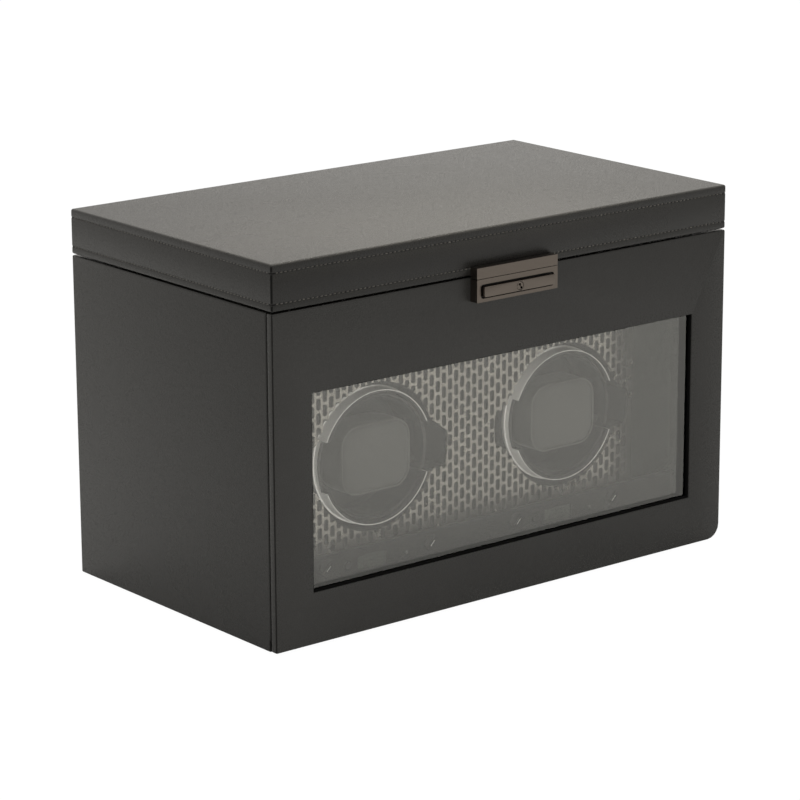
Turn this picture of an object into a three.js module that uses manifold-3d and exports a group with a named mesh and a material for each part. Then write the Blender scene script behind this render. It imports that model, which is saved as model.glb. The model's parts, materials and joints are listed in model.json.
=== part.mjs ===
// Watch winder box: a leather-covered case with a hinged lid over a storage tray, a drop-down
// glazed front door held by a push lock, and two motor-driven winding drums side by side.
//
// Millimetres, +Z up. The part's origin is the centre of the case's footprint, on the surface
// that the base pad stands on. Every piece is built in the box frame, which has x = 0 on the
// centre line, y = 0 on the front face and growing to the rear, and z = 0 under the carcass.

import * as THREE from 'three';
import { mergeVertices } from 'three/addons/utils/BufferGeometryUtils.js';
import Module from 'manifold-3d';

const wasm = await Module();
wasm.setup();

// ---- driving dimensions ------------------------------------------------------------------------

const WIDTH = 340;
const DEPTH = 194.4;
const HEIGHT = 221.1;
const PANEL = 9;
const GLUE = 0.2;
const PAD = 1.5;
const EDGE_ROUND = 1.4;

const CASE_TOP = 193.6;
const PARTING = 0.9;
const LID_ROOF = 6;

const DOOR = { skin: 5, gap: 0.6, core: 7, coreHalf: 160.2, coreBottom: 9.6, coreTop: 190.5 };
const WINDOW = { half: 143.6, bottom: 30.7, top: 145.5, rebate: 3, glassFront: 2.6, glass: 3 };
const PIVOT = { y: 3, z: 3.4, lip: 3, pin: 1, hole: 1.12, x: 120 };

const HINGE = { x: 105, y: 197, half: 14, centre: 4.9, barrel: 2.4, pin: 1, hole: 1.12, leaf: 1.2 };

const LOCK = { half: 30.25, proud: 6, bottom: 179.6, split: 193.1, top: 199.6, wall: 1.2 };
const BAR = { half: 26.35, bottom: 182.8, top: 188.8, proud: 2.2 };

const AXIS_X = 71.4;
const AXIS_Z = 88.4;
const SIDES = { left: -AXIS_X, right: AXIS_X };

const MESH = { front: 35, thickness: 1.7, bottom: 37.5, top: 147.6, half: 160.4 };
const FASCIA = { front: 37, back: 40, stripFront: 33.7, stripTop: 37, bottom: 9.4 };
const WELL = { radius: 44, ear: 53.5, shoulder: 15, tip: 8.5, high: 6.3, low: 14.5, wall: 2.5, floor: 66 };
const DRUM = { outer: 40, front: 33, rimDepth: 11, hoop: 5.9, notch: 15.2, shell: 37.3, wall: 2.1 };
const CUFF = { half: 26, halfHeight: 21.5, corner: 12, front: 33.4, depth: 25 };

const SHAFT = 4;
const BELT_DRIVE = { y: 71, drum: 28, motor: 7, flange: 2, slack: 0.4, belt: 1.5, motorZ: 30 };
const MOTOR = { radius: 12.5, front: 79.4, back: 109 };

const KNOB = { offset: 38.3, z: 30, radius: 5, front: 30.3 };
const BUTTON = { offset: -22, z: 28, radius: 2.4, front: 32.4 };
const SCREEN = { offset: -4, half: 10.4, z: 27.6, halfHeight: 4 };
const BOARD = { front: 42.6, thickness: 1.6, half: 150, bottom: 12, top: 36.5 };

const SHELF = { bottom: 148, top: 152 };
const TRAY = { bottom: 152.3, top: 192.8, wall: 4, bays: 3, bayDepth: 92 };
const JACK = { x: -120, z: 24, hole: 4.3 };

// ---- geometry helpers --------------------------------------------------------------------------

function toSolid(geometry) {
  const bare = geometry.clone();
  bare.deleteAttribute('normal');
  bare.deleteAttribute('uv');
  const merged = mergeVertices(bare, 1e-3);
  const corners = merged.index.array;
  const kept = [];
  for (let i = 0; i < corners.length; i += 3) {
    const [a, b, c] = [corners[i], corners[i + 1], corners[i + 2]];
    if (a !== b && b !== c && c !== a) kept.push(a, b, c);
  }
  return new wasm.Manifold(new wasm.Mesh({
    numProp: 3,
    vertProperties: Float32Array.from(merged.attributes.position.array),
    triVerts: Uint32Array.from(kept),
  }));
}

function toGeometry(solid) {
  const mesh = solid.getMesh();
  const geometry = new THREE.BufferGeometry();
  geometry.setAttribute('position', new THREE.BufferAttribute(mesh.vertProperties, 3));
  geometry.setIndex(new THREE.BufferAttribute(mesh.triVerts, 1));
  return geometry;
}

const join = (first, ...others) =>
  toGeometry(others.reduce((solid, other) => solid.add(toSolid(other)), toSolid(first)));

const cut = (first, ...tools) =>
  toGeometry(tools.reduce((solid, tool) => solid.subtract(toSolid(tool)), toSolid(first)));

const overlap = (first, ...others) =>
  toGeometry(others.reduce((solid, other) => solid.intersect(toSolid(other)), toSolid(first)));

function block([x0, x1], [y0, y1], [z0, z1]) {
  const geometry = new THREE.BoxGeometry(x1 - x0, y1 - y0, z1 - z0);
  return geometry.translate((x0 + x1) / 2, (y0 + y1) / 2, (z0 + z1) / 2);
}

// Points of an arc about (cx, cy), from one angle in degrees to another.
function arc(cx, cy, radius, from, to, steps) {
  const points = [];
  for (let i = 0; i <= steps; i += 1) {
    const angle = THREE.MathUtils.degToRad(from + ((to - from) * i) / steps);
    points.push(new THREE.Vector2(cx + radius * Math.cos(angle), cy + radius * Math.sin(angle)));
  }
  return points;
}

// A rectangle whose corners are rounded in the order low-left, low-right, top-right, top-left.
function rectangle([u0, u1], [v0, v1], radii = [0, 0, 0, 0], steps = 3) {
  const corners = [[u0, v0, 1, 1, 180], [u1, v0, -1, 1, 270], [u1, v1, -1, -1, 0], [u0, v1, 1, -1, 90]];
  const points = corners.flatMap(([u, v, inU, inV, from], i) => {
    const r = radii[i];
    if (r === 0) return [new THREE.Vector2(u, v)];
    return arc(u + inU * r, v + inV * r, r, from, from + 90, steps);
  });
  return new THREE.Shape(points);
}

const rounded = (u, v, radius, steps) => rectangle(u, v, [radius, radius, radius, radius], steps);

// Plates: an outline in the plane of two axes, extruded along the third between two levels.
function alongZ(shape, [z0, z1]) {
  return new THREE.ExtrudeGeometry(shape, { depth: z1 - z0, bevelEnabled: false }).translate(0, 0, z0);
}

function alongY(shape, [y0, y1]) {
  const geometry = new THREE.ExtrudeGeometry(shape, { depth: y1 - y0, bevelEnabled: false });
  return geometry.rotateX(Math.PI / 2).translate(0, y1, 0);
}

function alongX(shape, [x0, x1]) {
  const turn = new THREE.Matrix4().makeBasis(
    new THREE.Vector3(0, 1, 0),
    new THREE.Vector3(0, 0, 1),
    new THREE.Vector3(1, 0, 0),
  );
  const geometry = new THREE.ExtrudeGeometry(shape, { depth: x1 - x0, bevelEnabled: false });
  return geometry.applyMatrix4(turn).translate(x0, 0, 0);
}

const rodX = (y, z, radius, span, sides = 16) =>
  alongX(new THREE.Shape(arc(y, z, radius, 0, 360 - 360 / sides, sides - 1)), span);

const rodY = (x, z, radius, span, sides = 24) =>
  alongY(new THREE.Shape(arc(x, z, radius, 0, 360 - 360 / sides, sides - 1)), span);

// A solid of revolution about an axis along Y through (x, z), from a profile of [radius, y].
function turned(x, z, profile, sides) {
  const points = profile.map(([radius, y]) => new THREE.Vector2(radius, y));
  return toGeometry(toSolid(new THREE.LatheGeometry(points, sides))).translate(x, 0, z);
}

// A box whose upright, top and bottom edges are rounded by different amounts.
function softBox(x, y, z, { upright, top, bottom }) {
  return overlap(
    alongZ(rounded(x, y, upright), z),
    alongY(rectangle(x, z, [bottom, bottom, top, top]), y),
    alongX(rectangle(y, z, [bottom, bottom, top, top]), x),
  );
}

// The outline of a round well with a tapering finger recess at three and nine o'clock.
function wellOutline(x, grow) {
  const angle = (height, distance) => THREE.MathUtils.radToDeg(Math.asin((height + grow) / distance));
  const radius = WELL.radius + grow;
  const ear = WELL.ear + grow;
  const shoulder = angle(WELL.shoulder, radius);
  const tip = angle(WELL.tip, ear);
  return [
    ...arc(x, AXIS_Z, ear, -angle(WELL.low, ear), angle(WELL.high, ear), 4),
    ...arc(x, AXIS_Z, radius, shoulder, 180 - shoulder, 18),
    ...arc(x, AXIS_Z, ear, 180 - tip, 180 + tip, 3),
    ...arc(x, AXIS_Z, radius, 180 + shoulder, 360 - shoulder, 18),
  ];
}

// ---- materials ---------------------------------------------------------------------------------

const surface = (color, roughness, metalness) => () =>
  new THREE.MeshStandardMaterial({ color, roughness, metalness });

const leather = surface(0x3a3936, 0.55, 0);
const suede = surface(0x4c4a48, 0.95, 0);
const felt = surface(0x1d1c1b, 1, 0);
const gunmetal = surface(0x6e675f, 0.35, 1);
const polishedSteel = surface(0xc9c7c2, 0.12, 1);
const latticeMetal = surface(0xb9b4a9, 0.35, 1);
const blackPlastic = surface(0x232322, 0.5, 0);
const softTouch = surface(0x2b2b2a, 0.75, 0);
const steel = surface(0x9a9a98, 0.35, 1);
const brass = surface(0xb08d4a, 0.35, 1);
const rubber = surface(0x171717, 0.85, 0);
const circuitBoard = surface(0x1f4a35, 0.5, 0);
const screenGlass = surface(0x2a3436, 0.1, 0);
const painted = surface(0x1c1c1c, 0.6, 0);

function clearGlass() {
  return new THREE.MeshStandardMaterial({
    color: 0xcfd6d2,
    roughness: 0.05,
    metalness: 0,
    transparent: true,
    opacity: 0.25,
  });
}

// ---- carcass -----------------------------------------------------------------------------------

const INNER_HALF = WIDTH / 2 - PANEL - GLUE;
const INNER_REAR = DEPTH - PANEL - GLUE;
const CARCASS_FRONT = DOOR.skin + DOOR.gap;
const DOOR_REAR = DOOR.skin + DOOR.core;

// The rounded outside of the carcass, left long at the front where the door covers it.
function carcassEnvelope() {
  return softBox(
    [-WIDTH / 2, WIDTH / 2],
    [-4 * PANEL, DEPTH],
    [0, CASE_TOP],
    { upright: EDGE_ROUND, top: 0.8, bottom: 1.5 },
  );
}

// The door's round lower lip swings past the front edge, so the edge is set back at the bottom.
function sidePanel(sign) {
  const outer = sign * (WIDTH / 2);
  const inner = sign * (WIDTH / 2 - PANEL);
  const x = [Math.min(outer, inner), Math.max(outer, inner)];
  const slab = block(x, [CARCASS_FRONT, DEPTH], [0, CASE_TOP]);
  const lipRelief = block([x[0] - 1, x[1] + 1], [0, 6.5], [-1, 6.8]);
  return cut(overlap(slab, carcassEnvelope()), lipRelief);
}

function rearPanel() {
  const slab = block([-INNER_HALF, INNER_HALF], [DEPTH - PANEL, DEPTH], [0, CASE_TOP]);
  const jackHole = rodY(JACK.x, JACK.z, JACK.hole, [DEPTH - 2 * PANEL, DEPTH + PANEL]);
  return cut(overlap(slab, carcassEnvelope()), jackHole);
}

const basePanel = () => block([-INNER_HALF, INNER_HALF], [7.4, INNER_REAR], [0, PANEL]);

const shelfPanel = () =>
  block([-INNER_HALF, INNER_HALF], [DOOR_REAR + 0.9, INNER_REAR], [SHELF.bottom, SHELF.top]);

const basePad = () => alongZ(rounded([-164, 164], [8, 188], 4), [-PAD, -0.1]);

// ---- storage tray ------------------------------------------------------------------------------

const TRAY_FRONT = DOOR_REAR + 0.9;
const BAY_WIDTH = (2 * (INNER_HALF - GLUE) - (TRAY.bays + 1) * TRAY.wall) / TRAY.bays;
const BAY_Y = [TRAY_FRONT + TRAY.wall, TRAY_FRONT + TRAY.wall + TRAY.bayDepth];

const bayCentre = (i) => (i - (TRAY.bays - 1) / 2) * (BAY_WIDTH + TRAY.wall);

function storageTray() {
  const half = INNER_HALF - GLUE;
  const depthOf = [TRAY.bottom + TRAY.wall, TRAY.top + 1];
  const pocket = (x, y) => alongZ(rounded(x, y, 5), depthOf);
  const pockets = [];
  for (let i = 0; i < TRAY.bays; i += 1) {
    pockets.push(pocket([bayCentre(i) - BAY_WIDTH / 2, bayCentre(i) + BAY_WIDTH / 2], BAY_Y));
  }
  pockets.push(pocket([TRAY.wall - half, half - TRAY.wall], [BAY_Y[1] + TRAY.wall, INNER_REAR - TRAY.wall]));
  return cut(block([-half, half], [TRAY_FRONT, INNER_REAR], [TRAY.bottom, TRAY.top]), ...pockets);
}

function storageCushion(i) {
  const middle = (BAY_Y[0] + BAY_Y[1]) / 2;
  const profile = rounded([middle - 35, middle + 35], [TRAY.bottom + TRAY.wall + 0.3, 188], 13, 4);
  return alongX(profile, [bayCentre(i) - 42, bayCentre(i) + 42]);
}

// ---- winding modules ---------------------------------------------------------------------------

// One moulding holds both wells and the control strip below them.
function moduleFascia() {
  const half = MESH.half;
  const plate = block([-half, half], [FASCIA.front, FASCIA.back], [FASCIA.bottom, MESH.top]);
  const strip = block([-half, half], [FASCIA.stripFront, FASCIA.back], [FASCIA.bottom, FASCIA.stripTop]);
  const tubs = [];
  const hollows = [];
  for (const x of Object.values(SIDES)) {
    const outer = new THREE.Shape(wellOutline(x, WELL.wall));
    const inner = new THREE.Shape(wellOutline(x, 0));
    tubs.push(alongY(outer, [FASCIA.back - 1, WELL.floor + WELL.wall]));
    hollows.push(alongY(inner, [FASCIA.stripFront - 1, WELL.floor]));
    hollows.push(rodY(x, AXIS_Z, 6.8, [WELL.floor - 1, WELL.floor + 2 * WELL.wall]));
    hollows.push(...controlOpenings(x));
  }
  return cut(join(plate, strip, ...tubs), ...hollows);
}

function controlOpenings(x) {
  const through = [FASCIA.stripFront - 1, FASCIA.back + 1];
  const w = SCREEN.half + 0.3;
  const h = SCREEN.halfHeight + 0.3;
  return [
    block([x + SCREEN.offset - w, x + SCREEN.offset + w], through, [SCREEN.z - h, SCREEN.z + h]),
    rodY(x - KNOB.offset, KNOB.z, 3.3, through, 16),
    rodY(x + KNOB.offset, KNOB.z, 3.3, through, 16),
    rodY(x + BUTTON.offset, BUTTON.z, BUTTON.radius + 0.3, through, 16),
  ];
}

function meshPlate() {
  const shape = rectangle([-MESH.half, MESH.half], [MESH.bottom, MESH.top]);
  shape.holes = Object.values(SIDES).map((x) => new THREE.Path(wellOutline(x, 0).reverse()));
  return toGeometry(toSolid(alongY(shape, [MESH.front, MESH.front + MESH.thickness])));
}

function drumCup(x) {
  const inner = DRUM.shell - DRUM.wall;
  const front = DRUM.front + 2;
  const cup = turned(x, AXIS_Z, [
    [0, 60], [inner, 60], [inner, front], [DRUM.shell, front], [DRUM.shell, 62.5], [0, 62.5],
  ], 40);
  const reach = DRUM.outer + 1;
  const fingerGap = block([x - reach, x + reach], [30, 50], [AXIS_Z - 14.5, AXIS_Z + 14.5]);
  return cut(cup, fingerGap);
}

function drumRim(x) {
  const inner = DRUM.shell + 0.3;
  const back = DRUM.front + DRUM.rimDepth;
  const ring = turned(x, AXIS_Z, [
    [inner, DRUM.front], [DRUM.outer, DRUM.front], [DRUM.outer, back], [inner, back], [inner, DRUM.front],
  ], 48);
  const reach = DRUM.outer + 1;
  const fingerGap = block(
    [x - reach, x + reach],
    [DRUM.front - 1, back - DRUM.hoop],
    [AXIS_Z - DRUM.notch, AXIS_Z + DRUM.notch],
  );
  return cut(ring, fingerGap);
}

function cuff(x) {
  const outline = rounded(
    [x - CUFF.half, x + CUFF.half],
    [AXIS_Z - CUFF.halfHeight, AXIS_Z + CUFF.halfHeight],
    CUFF.corner,
    4,
  );
  return alongY(outline, [CUFF.front, CUFF.front + CUFF.depth]);
}

// A grooved pulley: rim flanges stand out on both sides of the belt's track.
function pulleyProfile(track, bore) {
  const rim = track + BELT_DRIVE.flange;
  const y = BELT_DRIVE.y;
  return [[bore, y], [rim, y], [rim, y + 0.8], [track, y + 1.6], [track, y + 4.4], [rim, y + 5.2], [rim, y + 6]];
}

function drumPulley(x) {
  const end = BELT_DRIVE.y + 8;
  const back = BELT_DRIVE.y + 6;
  const shaftStart = 62.8;
  return turned(x, AXIS_Z, [
    [0, shaftStart], [SHAFT, shaftStart], ...pulleyProfile(BELT_DRIVE.drum, SHAFT), [SHAFT, back], [SHAFT, end], [0, end],
  ], 36);
}

function drumBush(x) {
  const bore = SHAFT + 0.12;
  return turned(x, AXIS_Z, [
    [bore, 65.7], [6.5, 65.7], [6.5, 68.8], [9, 68.8], [9, 70.3], [bore, 70.3], [bore, 65.7],
  ], 24);
}

function motorPulley(x) {
  const shaft = 1.5;
  const end = MOTOR.front - 0.3;
  const back = BELT_DRIVE.y + 6;
  return turned(x, BELT_DRIVE.motorZ, [
    [0, BELT_DRIVE.y - 0.5], [shaft, BELT_DRIVE.y - 0.5], ...pulleyProfile(BELT_DRIVE.motor, shaft),
    [shaft, back], [shaft, end], [0, end],
  ], 20);
}

function motor(x) {
  const { radius, front, back } = MOTOR;
  return turned(x, BELT_DRIVE.motorZ, [
    [0, front], [radius, front], [radius, back - 5], [radius - 1.5, back - 3], [3, back - 3], [3, back], [0, back],
  ], 24);
}

function motorBracket(x) {
  const plate = block([x - 16, x + 16], [77.4, 79], [PANEL + 0.3, 47]);
  const foot = block([x - 16, x + 16], [77.4, 104], [PANEL + 0.3, PANEL + 1.9]);
  return cut(join(plate, foot), rodY(x, BELT_DRIVE.motorZ, 3.2, [76, 81], 16));
}

// The belt follows the outer tangents of both pulleys, so each side leans in by the same angle.
function beltOutline(x, drumRadius, motorRadius) {
  const rise = AXIS_Z - BELT_DRIVE.motorZ;
  const lean = THREE.MathUtils.radToDeg(Math.asin((BELT_DRIVE.drum - BELT_DRIVE.motor) / rise));
  return [
    ...arc(x, AXIS_Z, drumRadius, -lean, 180 + lean, 24),
    ...arc(x, BELT_DRIVE.motorZ, motorRadius, 180 + lean, 360 - lean, 10),
  ];
}

function belt(x) {
  const { drum, motor: small, slack, belt: thickness, y } = BELT_DRIVE;
  const shape = new THREE.Shape(beltOutline(x, drum + slack + thickness, small + slack + thickness));
  shape.holes = [new THREE.Path(beltOutline(x, drum + slack, small + slack).reverse())];
  return toGeometry(toSolid(alongY(shape, [y + 1.9, y + 4.1])));
}

// ---- controls and supply -----------------------------------------------------------------------

function display(x) {
  const { half, z, halfHeight } = SCREEN;
  const face = block([x - half, x + half], [FASCIA.stripFront + 0.7, 41], [z - halfHeight, z + halfHeight]);
  const body = block([x - half - 2.5, x + half + 2.5], [40.3, 42.3], [z - 7, z + 7]);
  return join(face, body);
}

// A low knob: a disc on its shaft, with a slanting grip bar across the face.
function knob(x) {
  const { radius, front, z } = KNOB;
  const disc = front + 1.1;
  const back = FASCIA.stripFront - 0.4;
  const profile = [
    [0, disc], [radius - 0.4, disc], [radius, disc + 0.4], [radius, back], [3, back], [3, 41.5], [0, 41.5],
  ];
  const grip = block([-1.1, 1.1], [front, disc + 0.5], [0.4 - radius, radius - 0.4]);
  return join(turned(x, z, profile, 24), grip.rotateY(Math.PI / 4).translate(x, 0, z));
}

function button(x) {
  const { radius, front, z } = BUTTON;
  return turned(x, z, [
    [0, front], [radius, front], [radius, 40.4], [3.6, 40.4], [3.6, 41.2], [0, 41.2],
  ], 16);
}

const controlBoard = () =>
  block([-BOARD.half, BOARD.half], [BOARD.front, BOARD.front + BOARD.thickness], [BOARD.bottom, BOARD.top]);

function powerJack() {
  const inside = DEPTH - PANEL - GLUE;
  const outside = DEPTH + GLUE;
  return turned(JACK.x, JACK.z, [
    [0, 176], [3, 176], [3, inside - 3], [5.8, inside - 3], [5.8, inside], [4, inside], [4, outside],
    [6.2, outside], [6.2, outside + 1.6], [2.8, outside + 1.6], [2.8, inside + 2], [0, inside + 2],
  ], 24);
}

// The supply lead drops from the jack to the base and rises to the back of the control board.
function powerLead() {
  const boardBack = BOARD.front + BOARD.thickness;
  const path = new THREE.CatmullRomCurve3([
    new THREE.Vector3(JACK.x, 175.6, JACK.z),
    new THREE.Vector3(JACK.x, 160, 20),
    new THREE.Vector3(JACK.x + 2, 120, 13),
    new THREE.Vector3(JACK.x - 2, 75, 13),
    new THREE.Vector3(JACK.x, 55, 20),
    new THREE.Vector3(JACK.x, boardBack + 0.4, JACK.z),
  ]);
  const section = new THREE.Shape(arc(0, 0, 1.4, 0, 315, 7));
  const geometry = new THREE.ExtrudeGeometry(section, { steps: 24, extrudePath: path, bevelEnabled: false });
  return toGeometry(toSolid(geometry));
}

// ---- lid and its hinges ------------------------------------------------------------------------

const LID_BOTTOM = CASE_TOP + PARTING;
const HINGE_Z = CASE_TOP + PARTING / 2;

function lidShell() {
  const shell = softBox(
    [-WIDTH / 2, WIDTH / 2],
    [0, DEPTH],
    [LID_BOTTOM, HEIGHT],
    { upright: EDGE_ROUND, top: 1.5, bottom: 1.2 },
  );
  const inside = WIDTH / 2 - PANEL;
  return cut(shell, block([-inside, inside], [PANEL, DEPTH - PANEL], [CASE_TOP, HEIGHT - LID_ROOF]));
}

const lidLining = () =>
  alongZ(rounded([-160.2, 160.2], [PANEL + 0.8, DEPTH - PANEL - 0.8], 3), [210.8, HEIGHT - LID_ROOF - 0.2]);


// Surface-mounted butt hinge: the case leaf carries the two end knuckles, the lid leaf the middle one.
function hingeLeaf(centre, onLid) {
  const { half, centre: middle, barrel, leaf, y, hole } = HINGE;
  const face = [y - barrel, y - barrel + leaf];
  const clear = barrel + 0.35;
  const plateZ = onLid ? [HINGE_Z + clear, HINGE_Z + 19] : [HINGE_Z - 21, HINGE_Z - clear];
  const plate = block([centre - half, centre + half], face, plateZ);
  const spans = onLid
    ? [[centre - middle, centre + middle]]
    : [[centre - half, centre - middle - 0.3], [centre + middle + 0.3, centre + half]];
  const parts = spans.flatMap((x) => {
    const tabZ = onLid ? [HINGE_Z, HINGE_Z + clear + 1] : [HINGE_Z - clear - 1, HINGE_Z];
    return [rodX(y, HINGE_Z, barrel, x), block(x, face, tabZ)];
  });
  return cut(join(plate, ...parts), rodX(y, HINGE_Z, hole, [centre - half - 1, centre + half + 1]));
}

const hingePin = (centre) =>
  rodX(HINGE.y, HINGE_Z, HINGE.pin, [centre - HINGE.half - 0.4, centre + HINGE.half + 0.4]);

// ---- front door --------------------------------------------------------------------------------

// Section through the door skin: the lower edge is a lip that is round about the pivot.
function doorSkin() {
  const { y, z, lip } = PIVOT;
  const rearTurn = 270 + THREE.MathUtils.radToDeg(Math.asin((DOOR.skin - y) / lip));
  const section = new THREE.Shape([
    ...arc(y, z, lip, 180, rearTurn, 6),
    new THREE.Vector2(DOOR.skin, CASE_TOP),
    ...arc(1.2, CASE_TOP - 1.2, 1.2, 90, 180, 3),
  ]);
  const front = [-WIDTH / 2, WIDTH / 2];
  return overlap(
    alongX(section, front),
    alongZ(rectangle(front, [0, DOOR.skin + 1], [EDGE_ROUND, EDGE_ROUND, 0, 0]), [0, CASE_TOP]),
    alongY(rectangle(front, [z - lip, CASE_TOP], [4, 4, 0.6, 0.6]), [-1, DOOR.skin]),
  );
}

function doorFrame() {
  const { half, bottom, top, rebate, glassFront } = WINDOW;
  const core = block(
    [-DOOR.coreHalf, DOOR.coreHalf],
    [DOOR.skin - 0.5, DOOR_REAR],
    [DOOR.coreBottom, DOOR.coreTop],
  );
  const r = rebate;
  const sightHole = block([-half, half], [-1, DOOR_REAR + 1], [bottom, top]);
  const glassSeat = block([-half - r, half + r], [glassFront - 0.2, DOOR_REAR + 1], [bottom - r, top + r]);
  const lockNotch = block([-9, 9], [-1, DOOR_REAR + 1], [182.5, CASE_TOP + 1]);
  const pivots = [-PIVOT.x, PIVOT.x].flatMap((x) => [
    rodX(PIVOT.y, PIVOT.z, PIVOT.hole, [x - 9.6, x + 9.6]),
    rodX(PIVOT.y, PIVOT.z, 2.3, [x - 4.4, x + 4.4]),
    block([x - 4.4, x + 4.4], [1.5, DOOR.skin + 1], [-1, PIVOT.z + 1.7]),
  ]);
  return cut(join(doorSkin(), core), sightHole, glassSeat, lockNotch, ...pivots);
}

function doorGlass() {
  const { half, bottom, top, rebate, glassFront, glass } = WINDOW;
  const r = rebate - 0.3;
  return block([-half - r, half + r], [glassFront, glassFront + glass], [bottom - r, top + r]);
}

function glassRetainer() {
  const { half, bottom, top, rebate, glassFront, glass } = WINDOW;
  const r = rebate - 0.3;
  const y = [glassFront + glass + 0.2, DOOR_REAR];
  const frame = block([-half - r, half + r], y, [bottom - r, top + r]);
  return cut(frame, block([-half, half], [y[0] - 1, y[1] + 1], [bottom, top]));
}

// Pivot lug: a plate on the base's front edge with an arm that reaches into a slot in the door's
// lip and carries a pin, on which the door turns.
function doorPivot(x) {
  const { y, z, pin } = PIVOT;
  const plate = block([x - 10, x + 10], [6.4, 7.2], [0.8, 8.6]);
  const arm = block([x - 4, x + 4], [y, 6.6], [z - 1, z + 1]);
  const eye = rodX(y, z, 1.9, [x - 4, x + 4]);
  return join(plate, arm, eye, rodX(y, z, pin, [x - 9, x + 9]));
}

// ---- push lock ---------------------------------------------------------------------------------

function lockPlate() {
  const { half, proud, bottom, split, wall } = LOCK;
  const outer = alongY(rounded([-half, half], [bottom, split - 0.1], 0.4), [-proud, -0.1]);
  const cavity = block([-half + 1.4, half - 1.4], [wall - proud, 1], [bottom + 1.4, split - 1.3]);
  const slotX = [-BAR.half - 1, BAR.half + 1];
  const slot = alongY(rounded(slotX, [BAR.bottom - 1, BAR.top + 1], 1.6), [-proud - 1, 0]);
  return cut(outer, cavity, slot);
}

function pushBar() {
  const { half, bottom, top, proud } = BAR;
  const face = alongY(rounded([-half, half], [bottom, top], 1), [-LOCK.proud - proud, -3.6]);
  const flange = block([-half - 1.8, half + 1.8], [-4.5, -3.5], [bottom - 1.4, top + 1.8]);
  return cut(join(face, flange), rodY(0, (bottom + top) / 2, 2.55, [-9, 0]));
}

function keyPlug() {
  const z = (BAR.bottom + BAR.top) / 2;
  const plug = rodY(0, z, 2.35, [-LOCK.proud - BAR.proud - 0.2, -3.6]);
  return cut(plug, block([-0.35, 0.35], [-9, -6.4], [z - 1.5, z + 1.5]));
}

// The catch drops as the bar is pressed. Its nose stands just short of the strike's tongue.
function catchSlide() {
  const plate = block([-10, 10], [-1.6, -0.5], [183.2, 191.2]);
  const nose = block([-3, 3], [-1, 0.9], [184.5, 186.5]);
  return join(plate, nose);
}

function lidStrike() {
  const { half, proud, split, top } = LOCK;
  const bar = alongY(rounded([-half, half], [split + 0.1, top], 0.4), [-proud, -0.1]);
  const web = block([-4.5, 4.5], [-1, 2.8], [split + 0.2, LID_BOTTOM - 0.3]);
  const tongue = block([-4.5, 4.5], [1.2, 2.8], [184, LID_BOTTOM - 0.3]);
  return cut(join(bar, web, tongue), block([-3.3, 3.3], [0, 4], [184.9, 188.5]));
}

// ---- assembly ----------------------------------------------------------------------------------

const box = new THREE.Group();
box.position.set(0, -DEPTH / 2, PAD);

function add(name, geometry, material) {
  const mesh = new THREE.Mesh(geometry, material);
  mesh.name = name;
  box.add(mesh);
}

function addCarcass() {
  add('felt_base_pad', basePad(), felt());
  add('base_panel', basePanel(), leather());
  add('side_panel_left', sidePanel(-1), leather());
  add('side_panel_right', sidePanel(1), leather());
  add('rear_panel', rearPanel(), leather());
  add('shelf_panel', shelfPanel(), painted());
  add('storage_tray', storageTray(), suede());
  ['left', 'centre', 'right'].forEach((place, i) => {
    add(`storage_cushion_${place}`, storageCushion(i), suede());
  });
}

function addWinders() {
  add('module_fascia', moduleFascia(), blackPlastic());
  add('mesh_plate', meshPlate(), latticeMetal());
  for (const [side, x] of Object.entries(SIDES)) {
    add(`drum_cup_${side}`, drumCup(x), blackPlastic());
    add(`drum_rim_${side}`, drumRim(x), polishedSteel());
    add(`cuff_${side}`, cuff(x), suede());
    add(`drum_bush_${side}`, drumBush(x), brass());
    add(`drum_pulley_${side}`, drumPulley(x), softTouch());
    add(`belt_${side}`, belt(x), rubber());
    add(`motor_pulley_${side}`, motorPulley(x), brass());
    add(`motor_${side}`, motor(x), steel());
    add(`motor_bracket_${side}`, motorBracket(x), steel());
    add(`display_${side}`, display(x + SCREEN.offset), screenGlass());
    add(`direction_knob_${side}`, knob(x - KNOB.offset), softTouch());
    add(`turns_knob_${side}`, knob(x + KNOB.offset), softTouch());
    add(`mode_button_${side}`, button(x + BUTTON.offset), softTouch());
  }
  add('control_board', controlBoard(), circuitBoard());
  add('power_jack', powerJack(), blackPlastic());
  add('power_lead', powerLead(), rubber());
}

function addDoor() {
  add('door_frame', doorFrame(), leather());
  add('door_glass', doorGlass(), clearGlass());
  add('glass_retainer', glassRetainer(), painted());
  add('door_pivot_left', doorPivot(-PIVOT.x), steel());
  add('door_pivot_right', doorPivot(PIVOT.x), steel());
  add('lock_plate', lockPlate(), gunmetal());
  add('push_bar', pushBar(), gunmetal());
  add('key_plug', keyPlug(), gunmetal());
  add('catch_slide', catchSlide(), steel());
}

function addLid() {
  add('lid_shell', lidShell(), leather());
  add('lid_lining', lidLining(), suede());
  add('lid_strike', lidStrike(), gunmetal());
  for (const [side, x] of Object.entries({ left: -HINGE.x, right: HINGE.x })) {
    add(`hinge_lid_leaf_${side}`, hingeLeaf(x, true), gunmetal());
    add(`hinge_case_leaf_${side}`, hingeLeaf(x, false), gunmetal());
    add(`hinge_pin_${side}`, hingePin(x), steel());
  }
}

addCarcass();
addWinders();
addDoor();
addLid();

const watchWinderBox = new THREE.Group();
watchWinderBox.name = 'watch_winder_box';
watchWinderBox.add(box);

export default watchWinderBox;
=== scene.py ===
"""The looks of the watch winder box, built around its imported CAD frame.

Metres, +Z up. Sizes given as numbers are millimetres of the real object and pass through MM.
Places come from the frame's own boxes: the case, door, lid, drums and controls.
"""

import json
import math

import bmesh
import bpy
from mathutils import Matrix, Quaternion, Vector

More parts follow.
